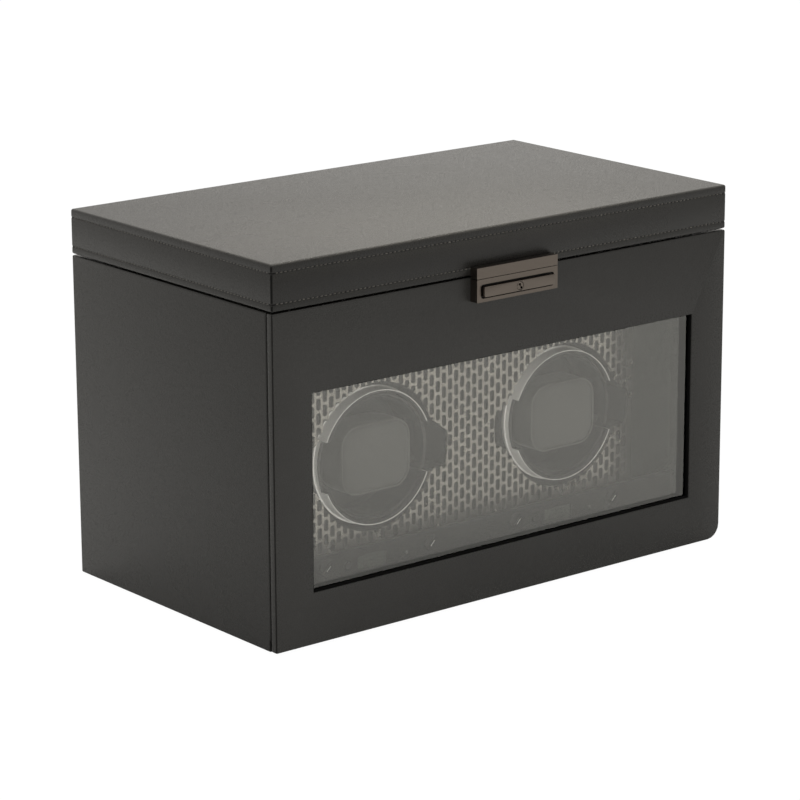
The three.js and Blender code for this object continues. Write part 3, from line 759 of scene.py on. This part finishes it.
def slot_prisms():
    """Every slot of the lattice as one mesh of closed prisms, columns staggered by half a pitch."""
    pitch_x = (PLATE_HIGH.x - PLATE_LOW.x) / COLUMNS
    pitch_z = (PLATE_HIGH.z - PLATE_LOW.z) / ROWS
    w, h = SLOT_HALF_WIDTH * MM, SLOT_HALF_HEIGHT * MM
    outline = rounded_loop((-w, -h), (w, h), [SLOT_CORNER * MM] * 4, 4)
    y0, y1 = PLATE_LOW.y - MM, PLATE_HIGH.y + MM
    bm = bmesh.new()
    for column in range(COLUMNS):
        x = PLATE_LOW.x + (column + 0.5) * pitch_x
        stagger = 0.5 if column % 2 else 0.0
        for row in range(ROWS - column % 2):
            z = PLATE_LOW.z + (row + 0.5 + stagger) * pitch_z
            if abs(x) <= PERFORATED:
                loft([[(x + u, y, z + v) for u, v in outline] for y in (y1, y0)], bm=bm)
    return to_mesh("slots", bm)


WELL = {"radius": 44.0, "ear": 53.5, "shoulder": 15.0, "tip": 8.5, "high": 6.3, "low": 14.5}


def well_outline(axis):
    """The round well with its two tapering finger recesses, in x and z."""
    radius, ear = WELL["radius"] * MM, WELL["ear"] * MM
    shoulder = math.degrees(math.asin(WELL["shoulder"] / WELL["radius"]))
    tip, high, low = (math.degrees(math.asin(WELL[name] / WELL["ear"])) for name in ("tip", "high", "low"))
    points = fillet(axis.x, axis.z, ear, -low, high, 6)
    points += fillet(axis.x, axis.z, radius, shoulder, 180 - shoulder, 48)
    points += fillet(axis.x, axis.z, ear, 180 - tip, 180 + tip, 5)
    points += fillet(axis.x, axis.z, radius, 180 + shoulder, 360 - shoulder, 48)
    return points


def split_at(mesh, x):
    """Cuts the faces along an upright plane without opening the mesh."""
    bm = bmesh.new()
    bm.from_mesh(mesh)
    parts = bm.verts[:] + bm.edges[:] + bm.faces[:]
    bmesh.ops.bisect_plane(bm, geom=parts, dist=1e-7, plane_co=(x, 0, 0), plane_no=(1, 0, 0))
    bm.to_mesh(mesh)
    bm.free()


def make_lattice():
    mesh = carve(block_mesh("lattice", (PLATE_LOW, PLATE_HIGH)), slot_prisms())
    for limit in (-BRIGHT_PLATE, BRIGHT_PLATE):
        split_at(mesh, limit)
    for side in SIDES:
        outline = well_outline(AXES[side])
        loops = [[(x, y, z) for x, z in outline] for y in (PLATE_LOW.y - MM, PLATE_HIGH.y + MM)]
        mesh = carve(mesh, to_mesh("well", loft(loops)))
    masked = creased(mesh, lambda centre, normal: abs(centre.x) > BRIGHT_PLATE)
    finish_mesh("lattice_plate", masked, ["lattice", "seal"], "case", ["mesh_plate"])


# ---- winding drums ----


RIM_GAP_HALF = 15.2
CUP_GAP_HALF = 14.5


def finger_gaps(axis, reach, y0, y1, half):
    low = (axis.x - reach, y0, axis.z - half)
    high = (axis.x + reach, y1, axis.z + half)
    return block_mesh("finger_gaps", (low, high))


def make_rim(side):
    """The bright ring, a thin flaring skin with a rear flange, and the black ring that carries it."""
    node = f"drum_rim_{side}"
    low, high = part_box(node)
    axis = AXES[side]
    outer = (high.x - low.x) / 2
    front, lip = outer - 0.2 * MM, 0.2 * MM
    skin, inner = front - 0.55 * MM, outer - 2.35 * MM
    flange_y, flange = low.y + 8.1 * MM, outer + 0.8 * MM
    floor_y = high.y - 5.9 * MM
    cutter = finger_gaps(axis, flange + MM, low.y - MM, floor_y, RIM_GAP_HALF * MM)
    profile = [(skin, high.y), (skin, low.y + lip)]
    profile += fillet(skin + lip, low.y + lip, lip, 180, 270, 3)[1:]
    profile += fillet(front - lip, low.y + lip, lip, 270, 360, 3)
    profile += [(outer, flange_y), (flange, flange_y + 0.15 * MM), (flange, flange_y + 0.8 * MM)]
    profile += [(outer, flange_y + 0.95 * MM), (outer, high.y)]
    ring = to_mesh(node, turned(profile, axis.x, axis.z, 160, closed=True))

    def notch_floor(centre, normal):
        return abs(centre.y - floor_y) < 0.05 * MM and abs(centre.z - axis.z) < (RIM_GAP_HALF + 0.1) * MM

    mesh = creased(carve(ring, cutter), notch_floor)
    piece = finish_mesh(f"rim_{side}", mesh, ["polished_rim", "black_plastic"], f"drum_{side}", [node])
    bevelled(piece, 0.12, 2, 60)
    back = low.y + 0.35 * MM
    profile = [(inner, high.y), (inner, back + 0.5 * MM), (inner + 0.5 * MM, back)]
    profile += [(skin, back), (skin, high.y)]
    carrier = to_mesh("carrier", turned(profile, axis.x, axis.z, 120, closed=True))
    cutter = finger_gaps(axis, flange + MM, low.y - MM, floor_y - 0.1 * MM, RIM_GAP_HALF * MM)
    carrier = carve(carrier, cutter)
    finish_mesh(f"rim_carrier_{side}", carrier, "black_plastic", f"drum_{side}")


def make_cup(side):
    """The drum's cup: a thin wall with finger gaps and a floor."""
    node = f"drum_cup_{side}"
    low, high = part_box(node)
    axis = AXES[side]
    outer = (high.x - low.x) / 2
    inner = outer - 2.1 * MM
    floor = high.y - 2.5 * MM
    profile = [(0, floor), (inner - 2 * MM, floor), (inner, floor - 2 * MM), (inner, low.y + 0.6 * MM)]
    profile += [(inner + 0.6 * MM, low.y), (outer - 0.6 * MM, low.y), (outer, low.y + 0.6 * MM)]
    profile += [(outer, high.y - MM), (outer - MM, high.y), (0, high.y)]
    mesh = to_mesh(node, turned(profile, axis.x, axis.z, 120))
    cutter = finger_gaps(axis, outer + 2 * MM, low.y - MM, low.y + 15 * MM, CUP_GAP_HALF * MM)
    piece = finish_mesh(f"cup_{side}", carve(mesh, cutter), "black_plastic", f"drum_{side}", [node])
    bevelled(piece, 0.5, 3, 60)


def make_drives():
    for side in SIDES:
        for part in ("drum_pulley", "motor_pulley", "drum_bush", "motor"):
            dress(f"{part}_{side}", bevel=0.2)
        for part in ("belt", "motor_bracket"):
            dress(f"{part}_{side}", bevel=0.3)


# ---- soft goods ----


def soft_start(size, corner, crown, shrink):
    """A rounded block a little smaller than the space it will fill, with its length along Y."""
    half = [s / 2 - shrink for s in size]
    profile = [(crown + u, -half[1] + crown - v) for u, v in fillet(0, 0, crown, 90, 180)]
    profile += [(crown - u, half[1] - crown + v) for u, v in fillet(0, 0, crown, 0, 90)]
    rings = []
    for inset, y in profile:
        w, h = half[0] - inset, half[2] - inset
        radius = max(corner - inset, MM)
        rings.append([(x, y, z) for x, z in rounded_loop((-w, -h), (w, h), [radius] * 4, 6)])
    return to_mesh("soft_start", loft(rings))


def inflated(mesh, voxel, pressure, cap, limits):
    """Cloth blown up from inside, held within a cap and within half-sizes, as a new mesh."""
    piece = bpy.data.objects.new("inflating", mesh)
    bpy.context.scene.collection.objects.link(piece)
    remesh = piece.modifiers.new("voxels", "REMESH")
    remesh.mode = "VOXEL"
    remesh.voxel_size = voxel
    applied(piece)
    start = [v.co.copy() for v in piece.data.vertices]
    cloth = piece.modifiers.new("cloth", "CLOTH").settings
    cloth.use_pressure = True
    cloth.uniform_pressure_force = pressure
    cloth.effector_weights.gravity = 0.0
    cloth.quality = 6
    cloth.tension_stiffness = 20
    cloth.bending_stiffness = 0.6
    scene = bpy.context.scene
    for step in range(1, 21):
        scene.frame_set(step)
    applied(piece)
    scene.frame_set(1)
    for rest, vert in zip(start, piece.data.vertices):
        move = vert.co - rest
        if move.length > cap:
            vert.co = rest + move * (cap / move.length)
        vert.co = [max(-l, min(l, c)) for c, l in zip(vert.co, limits)]
    smooth = piece.modifiers.new("relax", "CORRECTIVE_SMOOTH")
    smooth.use_only_smooth = True
    smooth.iterations = 2
    fine = piece.modifiers.new("fine", "SUBSURF")
    fine.levels = fine.render_levels = 1
    made = applied(piece).data
    bpy.data.objects.remove(piece)
    return made


def placed(mesh, centre):
    copy = mesh.copy()
    copy.transform(Matrix.Translation(centre))
    return copy


def tube_loop(points, radius):
    """A closed round cord along a closed loop of points."""
    sides = 8
    count = len(points)
    rings = []
    for i, point in enumerate(points):
        ahead = (points[(i + 1) % count] - points[i - 1]).normalized()
        across = ahead.cross(Vector((0, 1, 0))).normalized()
        lift = across.cross(ahead)
        ring = []
        for k in range(sides):
            a = 2 * math.pi * k / sides
            ring.append(point + (across * math.cos(a) + lift * math.sin(a)) * radius)
        rings.append(ring)
    return loft(rings, closed=True)


CUFF_PAD = {"corner": 12.0, "crown": 3.2, "shrink": 0.6, "voxel": 2.6, "pressure": 3.0, "cap": 2.2}
CUSHION_PAD = {"corner": 13.0, "crown": 8.0, "shrink": 1.6, "voxel": 3.2, "pressure": 3.5, "cap": 3.0}
SEAM = {"inset": 1.45, "depth": 1.7, "corner": 11.4, "cord": 0.5}


def stuffed(size, pad):
    """A stuffed pad about the origin that stays just inside a space of the given size."""
    corner, crown, shrink, voxel, cap = (pad[k] * MM for k in ("corner", "crown", "shrink", "voxel", "cap"))
    limits = [s / 2 - 0.2 * MM for s in size]
    return inflated(soft_start(size, corner, crown, shrink), voxel, pad["pressure"], cap, limits)


def make_cuffs():
    """Each cuff is a stuffed suede pad with a piped seam round its face."""
    low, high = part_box("cuff_left")
    size = high - low
    pad = stuffed(size, CUFF_PAD)
    half = Vector((size.x / 2, size.z / 2)) - Vector((SEAM["inset"], SEAM["inset"])) * MM
    outline = rounded_loop(-half, half, [SEAM["corner"] * MM] * 4, 10)
    for side in SIDES:
        node = f"cuff_{side}"
        low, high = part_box(node)
        centre = (low + high) / 2
        finish_mesh(f"cuff_pad_{side}", placed(pad, centre), "cuff", node, [node]).data.shade_smooth()
        seam = [Vector((centre.x + u, low.y + SEAM["depth"] * MM, centre.z + v)) for u, v in outline]
        cord = to_mesh("cord", tube_loop(seam, SEAM["cord"] * MM))
        finish_mesh(f"cuff_piping_{side}", cord, "piping", node)


def make_storage():
    """The moulded tray and the three pillows that stand in its bays."""
    dress("storage_tray", bevel=0.9, segments=3)
    low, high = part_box("storage_cushion_left")
    pad = stuffed(high - low, CUSHION_PAD)
    for place in ("left", "centre", "right"):
        node = f"storage_cushion_{place}"
        low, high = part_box(node)
        mesh = placed(pad, (low + high) / 2)
        finish_mesh(f"cushion_{place}", mesh, "suede", node, [node]).data.shade_smooth()


def make_lid_lining():
    """A padded panel under the lid's roof: crowned, with a sewn border."""
    low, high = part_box("lid_lining")
    steps_x, steps_y = 96, 54
    border, seam_width, shoulder = 9.0 * MM, 1.1 * MM, 14 * MM
    slack, crown_depth, seam_depth = 0.6 * MM, 3.2 * MM, 1.4 * MM
    bm = bmesh.new()
    grid = []
    for j in range(steps_y + 1):
        row = []
        for i in range(steps_x + 1):
            x = low.x + (high.x - low.x) * i / steps_x
            y = low.y + (high.y - low.y) * j / steps_y
            edge = min(x - low.x, high.x - x, y - low.y, high.y - y)
            crown = min(1.0, edge / shoulder) ** 0.5
            seam = math.exp(-(((edge - border) / seam_width) ** 2))
            row.append(bm.verts.new((x, y, high.z - slack - crown_depth * crown + seam_depth * seam)))
        grid.append(row)
    for j in range(steps_y):
        for i in range(steps_x):
            bm.faces.new((grid[j][i], grid[j + 1][i], grid[j + 1][i + 1], grid[j][i + 1]))
    rim = grid[0] + [row[-1] for row in grid[1:]] + grid[-1][-2::-1] + [row[0] for row in grid[-2:0:-1]]
    top = [bm.verts.new((v.co.x, v.co.y, high.z)) for v in rim]
    for i in range(len(rim)):
        j = (i + 1) % len(rim)
        bm.faces.new((rim[i], rim[j], top[j], top[i]))
    bm.faces.new(top)
    finish_mesh("lid_padding", to_mesh("lid_padding", bm), "suede", "lid", ["lid_lining"])


# ---- controls ----


def make_knob(node):
    """A fluted disc with a slanting grip bar and a pale pointer line along it; the line is partly a pointer
    mark and partly a painted highlight for the glint on the bar.
    """
    low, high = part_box(node)
    body = BODY_OF[node]
    (x, z), radius = (low + high).xz / 2, (high.x - low.x) / 2
    flutes, flute_depth, segments = 22, 0.045, 132
    disc, back = low.y + 1.1 * MM, low.y + 3.0 * MM
    sections = [
        (0.0, disc, 0), (0.8, disc, 0), (0.92, disc + 0.1 * MM, 0.4), (1.0, disc + 0.5 * MM, 1),
        (1.0, back - 0.2 * MM, 1), (0.96, back, 0.6), (0.6, back, 0), (0.6, high.y, 0), (0.0, high.y, 0),
    ]
    loops = []
    for share, y, flute in sections:
        ring = []
        for i in range(segments):
            a = 2 * math.pi * i / segments
            r = radius * share * (1 - flute_depth * flute * (0.5 + 0.5 * math.cos(flutes * a)))
            ring.append((x + r * math.cos(a), y, z + r * math.sin(a)))
        loops.append(ring)
    bm = loft(loops)
    bmesh.ops.remove_doubles(bm, verts=bm.verts, dist=1e-7)
    finish_mesh(node + "_disc", to_mesh(node, bm), "soft_touch", body, [node])
    turn = Matrix.Translation((x, 0, z)) @ Matrix.Rotation(math.radians(45), 4, "Y")
    reach = radius - 0.4 * MM
    for name, half, front, end, material in (
        ("_grip", 1.1 * MM, low.y, reach, "soft_touch"),
        # The pale pointer line: partly a mark, partly a painted highlight standing in for the bar's glint.
        ("_line", 0.26 * MM, low.y - 0.06 * MM, reach * 0.45, "pointer_glint"),
    ):
        mesh = block_mesh(name, ((-half, front, -end), (half, disc + 0.2 * MM, end)))
        mesh.transform(turn)
        bevelled(finish_mesh(node + name, mesh, material, body), half * 0.5, 2)


def make_button(node):
    low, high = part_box(node)
    (x, z), flange, radius = (low + high).xz / 2, (high.x - low.x) / 2, 2.4 * MM
    neck = high.y - 0.8 * MM
    profile = [(0, low.y + 0.25 * MM), (radius * 0.55, low.y + 0.12 * MM), (radius * 0.8, low.y)]
    profile += [(radius, low.y + 0.3 * MM), (radius, neck), (flange, neck), (flange, high.y), (0, high.y)]
    bm = turned(profile, x, z, 48)
    finish_mesh(node + "_cap", to_mesh(node, bm), "soft_touch", BODY_OF[node], [node])


SEGMENTS = {
    "a": ((0.1, 1.0), (0.9, 1.0)), "b": ((1.0, 0.9), (1.0, 0.55)), "c": ((1.0, 0.45), (1.0, 0.1)),
    "d": ((0.1, 0.0), (0.9, 0.0)), "e": ((0.0, 0.45), (0.0, 0.1)), "f": ((0.0, 0.9), (0.0, 0.55)),
    "g": ((0.1, 0.5), (0.9, 0.5)),
}
DIGITS = {"6": "acdefg", "5": "acdfg", "0": "abcdef"}
SHOWN = "650"
LAMP_RIGHT = 21.0
LAMP_BELOW = 61.5


def make_display(side):
    """The display's face stays a CAD part; a set of number segments is added to it."""
    node = f"display_{side}"
    dress(node, bevel=0.2)
    low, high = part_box(node)
    digit_w, digit_h, pitch, stroke = 2.8 * MM, 5.2 * MM, 4.6 * MM, 0.5 * MM
    left = (low.x + high.x) / 2 - pitch - digit_w / 2
    base_z = (low.z + high.z) / 2 - digit_h / 2
    bm = bmesh.new()
    for place, digit in enumerate(SHOWN):
        for name in DIGITS[digit]:
            (u0, v0), (u1, v1) = SEGMENTS[name]
            start = left + place * pitch
            a = Vector((start + u0 * digit_w, low.y, base_z + v0 * digit_h))
            b = Vector((start + u1 * digit_w, low.y, base_z + v1 * digit_h))
            pad = Vector((stroke / 2, 0.06 * MM, stroke / 2))
            boxed(bm, Vector(map(min, a, b)) - pad, Vector(map(max, a, b)) + pad)
    piece = finish_mesh(f"display_digits_{side}", to_mesh("digits", bm), "screen_ink", "case", smooth=False)


def make_lamp(side):
    """A small indicator lens set in the control strip, right of the display."""
    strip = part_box("module_fascia")[0].y
    x, z = AXES[side].x + LAMP_RIGHT * MM, AXES[side].z - LAMP_BELOW * MM
    profile = [(0, strip - 0.75 * MM), (0.8 * MM, strip - 0.6 * MM), (1.4 * MM, strip - 0.15 * MM)]
    profile += [(1.6 * MM, strip + 0.3 * MM), (1.6 * MM, strip + MM), (0, strip + MM)]
    bm = turned(profile, x, z, 36)
    finish_mesh(f"indicator_lens_{side}", to_mesh("lens", bm), "lens", "case")


def make_controls():
    for side in SIDES:
        make_knob(f"direction_knob_{side}")
        make_knob(f"turns_knob_{side}")
        make_button(f"mode_button_{side}")
        make_display(side)
        make_lamp(side)
    dress("control_board", bevel=0.2)
    dress("power_jack", bevel=0.25)
    dress("power_lead")
    dress("module_fascia", bevel=0.4, segments=3)


# ---- lock and hinges ----


SCREW_SPREAD = 8.5
SCREW_EDGE = 5.0
SCREW_RADIUS = 2.1
PLUG_BORE = 2.55
KEY_HOLE = 0.78


def screw_head(bm, centre, outward, radius):
    """A countersunk head with a round recess."""
    side = outward.cross(Vector((0, 0, 1))).normalized()
    matrix = Matrix((side, Vector((0, 0, 1)), outward)).transposed().to_4x4()
    matrix.translation = centre
    shape = {"radius1": radius * 1.06, "radius2": radius, "depth": 0.5 * MM}
    made = bmesh.ops.create_cone(bm, cap_ends=True, segments=32, matrix=matrix, **shape)
    caps = [f for f in {f for v in made["verts"] for f in v.link_faces} if len(f.verts) > 4]
    front = max(caps, key=lambda f: f.calc_center_median().dot(outward))
    bmesh.ops.inset_individual(bm, faces=[front], thickness=radius * 0.45)
    bmesh.ops.translate(bm, verts=front.verts, vec=-outward * 0.3 * MM)


def make_hinges():
    for side in SIDES:
        for leaf in ("lid", "case"):
            node = f"hinge_{leaf}_leaf_{side}"
            dress(node, bevel=0.3, segments=3)
            low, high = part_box(node)
            x = (low.x + high.x) / 2
            z = high.z - SCREW_EDGE * MM if leaf == "lid" else low.z + SCREW_EDGE * MM
            bm = bmesh.new()
            for shift in (-SCREW_SPREAD, SCREW_SPREAD):
                spot = Vector((x + shift * MM, low.y + 1.2 * MM, z))
                screw_head(bm, spot, Vector((0, 1, 0)), SCREW_RADIUS * MM)
            piece = finish_mesh(f"screws_{leaf}_{side}", to_mesh("screws", bm), "steel", leaf)
            bevelled(piece, 0.1, 2)
        dress(f"hinge_pin_{side}", bevel=0.3)
        dress(f"door_pivot_{side}", bevel=0.2)


def drill(radius, y0, y1, x, z, segments):
    """A plain round cutter along Y."""
    profile = [(0, y0), (radius, y0), (radius, y1), (0, y1)]
    return to_mesh("drill", turned(profile, x, z, segments))


def make_push_bar():
    """The bar's face with its bore, and behind it the dark flange that holds it in the plate; the flange's
    near-black paint also serves as painted shade in the gap round the bar.
    """
    low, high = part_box("push_bar")
    plug_low, plug_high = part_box("key_plug")
    bar_low, bar_high = low.xz + Vector((1.8, 1.4)) * MM, high.xz - Vector((1.8, 1.8)) * MM
    back, soft = high.y - 0.1 * MM, 0.4 * MM
    loops = [frame_loop(bar_low, bar_high, [MM] * 4, back)]
    for u, v in fillet(0, 0, soft, 0, -90, 3):
        inset = Vector((soft - u, soft - u))
        loops.append(frame_loop(bar_low + inset, bar_high - inset, [MM - soft + u] * 4, low.y + soft + v))
    x, z = (plug_low.xz + plug_high.xz) / 2
    bore = drill(PLUG_BORE * MM, low.y - MM, high.y + MM, x, z, 48)
    face = carve(to_mesh("bar", loft(loops)), bore)
    bevelled(finish_mesh("push_bar_face", face, "gunmetal", "push_bar", ["push_bar"]), 0.12, 2)
    # Near-black flange: partly real paint, partly painted shade seen through the gap round the bar.
    flange = block_mesh("flange", ((low.x, high.y - MM, low.z), (high.x, high.y, high.z)))
    finish_mesh("push_bar_flange", carve(flange, bore), "painted_board", "push_bar")


def make_key_plug():
    """A turned plug whose keyway ends in two round holes."""
    low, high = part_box("key_plug")
    (x, z), r = (low + high).xz / 2, (high.x - low.x) / 2
    soft = 0.3 * MM
    profile = [(0, low.y), (r - soft, low.y), (r, low.y + soft), (r, high.y), (0, high.y)]
    mesh = to_mesh("plug", turned(profile, x, z, 64))
    for shift_x, shift_z in ((-0.6 * MM, 1.0 * MM), (0.55 * MM, -1.0 * MM)):
        mesh = carve(mesh, drill(KEY_HOLE * MM, low.y - MM, low.y + 3 * MM, x + shift_x, z + shift_z, 24))
    keyway = ((x - 0.16 * MM, low.y - MM, z - 0.9 * MM), (x + 0.16 * MM, low.y + 2 * MM, z + 0.9 * MM))
    mesh = carve(mesh, block_mesh("keyway", keyway))
    finish_mesh("key_plug_turned", mesh, "gunmetal", "key_plug", ["key_plug"])


def make_lock():
    for node in ("lock_plate", "lid_strike"):
        dress(node, bevel=0.3, segments=3)
    make_push_bar()
    make_key_plug()
    dress("catch_slide", bevel=0.15)


# ---- studio ----

CAMERA_PLACE = (-1.1919, -1.4747, 0.6083)
CAMERA_AZIMUTH = -38.87
CAMERA_ELEVATION = 15.052
CAMERA_ROLL = -0.255
CAMERA_LENS = 147.5

WHITE = (1.0, 1.0, 1.0, 1.0)
BACKDROP_GLOW = 1.02
WHITE_FOR_CAMERA = 0.97
FLOOR_HALF = 9.0


def floor_paint():
    """White sweep: lit like paint, and nearly shadowless where the camera looks straight at it."""
    s = Shader("floor_white")
    s.set(Base_Color=(0.93, 0.93, 0.92, 1.0), Roughness=0.6, Specular_IOR_Level=0.2)
    glow = s.add("ShaderNodeEmission", {"Color": WHITE, "Strength": BACKDROP_GLOW}).outputs["Emission"]
    seen = s.maths("MULTIPLY", s.add("ShaderNodeLightPath").outputs["Is Camera Ray"], WHITE_FOR_CAMERA)
    blended(s.tree, seen, s.surface.outputs["BSDF"], glow, "Material Output")
    return s.material


def make_floor():
    mesh = bpy.data.meshes.new("floor")
    signs = ((-1, -1), (1, -1), (1, 1), (-1, 1))
    corners = [(u * FLOOR_HALF, v * FLOOR_HALF, CAD_BOX[0].z) for u, v in signs]
    mesh.from_pydata(corners, [], [(0, 1, 2, 3)])
    mesh.materials.append(floor_paint())
    floor = bpy.data.objects.new("floor", mesh)
    bpy.context.scene.collection.objects.link(floor)


WARM = (1.0, 0.95, 0.87)
SURROUND_COLOR = (1.0, 0.972, 0.925)
SURROUND_MEAN = 0.69
SURROUND_RISE = 0.38
BRIGHT_SIDE = (0.45, 0.72, 0.53)


def make_world():
    """White where the camera sees it; where the box reflects it, warm and brightest behind the right."""
    world = bpy.data.worlds.new("studio")
    world.use_nodes = True
    tree = world.node_tree
    surround = tree.nodes["Background"]
    surround.inputs["Color"].default_value = (*SURROUND_COLOR, 1.0)
    inputs = {0: add_node(tree, "ShaderNodeTexCoord").outputs["Generated"], 1: BRIGHT_SIDE}
    facing = add_node(tree, "ShaderNodeVectorMath", inputs, operation="DOT_PRODUCT").outputs["Value"]
    inputs = {0: facing, 1: SURROUND_RISE, 2: SURROUND_MEAN}
    level = add_node(tree, "ShaderNodeMath", inputs, operation="MULTIPLY_ADD").outputs["Value"]
    put(tree, surround.inputs["Strength"], level)
    white = add_node(tree, "ShaderNodeBackground", {"Color": WHITE, "Strength": BACKDROP_GLOW})
    seen = add_node(tree, "ShaderNodeLightPath").outputs["Is Camera Ray"]
    blended(tree, seen, surround.outputs["Background"], white.outputs["Background"], "World Output")
    bpy.context.scene.world = world


def area_light(name, place, target, size, power, only=(), color=(1.0, 1.0, 1.0)):
    """A soft light, kept to the pieces whose names start with one of the given words, if any."""
    light = bpy.data.lights.new(name, "AREA")
    light.shape = "RECTANGLE"
    light.size, light.size_y = size
    light.energy = power
    light.color = color
    lamp = bpy.data.objects.new(name, light)
    bpy.context.scene.collection.objects.link(lamp)
    lamp.location = place
    lamp.rotation_mode = "QUATERNION"
    lamp.rotation_quaternion = (Vector(target) - Vector(place)).to_track_quat("-Z", "Y")
    if only:
        lamp.visible_camera = False
        lamp.visible_glossy = False
        receivers = bpy.data.collections.new(name + "_receivers")
        for piece in bpy.context.scene.objects:
            if piece.name.startswith(only):
                receivers.objects.link(piece)
        lamp.light_linking.receiver_collection = receivers


def make_lights():
    area_light("overhead", (0.0, -0.2, 2.2), (0, 0, 0.1), (2.4, 2.4), 22)
    area_light("left_fill", (-2.4, -0.9, 1.0), (0, 0, 0.1), (1.4, 1.4), 6)
    above, on = Vector((-0.03, -0.09, LID_HIGH.z + 0.17)), Vector((-0.03, -0.09, LID_HIGH.z))
    area_light("lid_wash", above, on, (0.28, 0.04), 3.2, ("lid",), WARM)
    area_light("front_wash", (-0.25, -0.5, 0.03), (-0.08, -0.1, 0.08), (0.3, 0.15), 3.0, ("door_skin",))
    rims = ("rim_left", "rim_right")
    area_light("rim_wash", (-0.36, -0.8, 0.03), (-0.05, -0.06, 0.09), (0.3, 0.2), 12, rims)


def make_camera():
    azimuth, elevation = math.radians(CAMERA_AZIMUTH), math.radians(CAMERA_ELEVATION)
    back = Vector((
        math.sin(azimuth) * math.cos(elevation),
        -math.cos(azimuth) * math.cos(elevation),
        math.sin(elevation),
    ))
    data = bpy.data.cameras.new("camera")
    data.lens = CAMERA_LENS
    data.sensor_width = 36.0
    data.clip_start, data.clip_end = 0.05, 60.0
    camera = bpy.data.objects.new("camera", data)
    bpy.context.scene.collection.objects.link(camera)
    camera.location = CAMERA_PLACE
    camera.rotation_mode = "QUATERNION"
    roll = Quaternion((0, 0, 1), math.radians(CAMERA_ROLL))
    camera.rotation_quaternion = (-back).to_track_quat("-Z", "Y") @ roll
    bpy.context.scene.camera = camera


def make_studio():
    make_floor()
    make_world()
    make_lights()
    make_camera()
    bpy.context.scene.view_settings.view_transform = "Standard"


make_panels()
make_lid()
make_lid_stitching()
make_lid_lining()
make_door()
make_door_core()
make_glazing()
make_lattice()
for drum_side in SIDES:
    make_rim(drum_side)
    make_cup(drum_side)
make_drives()
make_cuffs()
make_storage()
make_controls()
make_lock()
make_hinges()
make_studio()
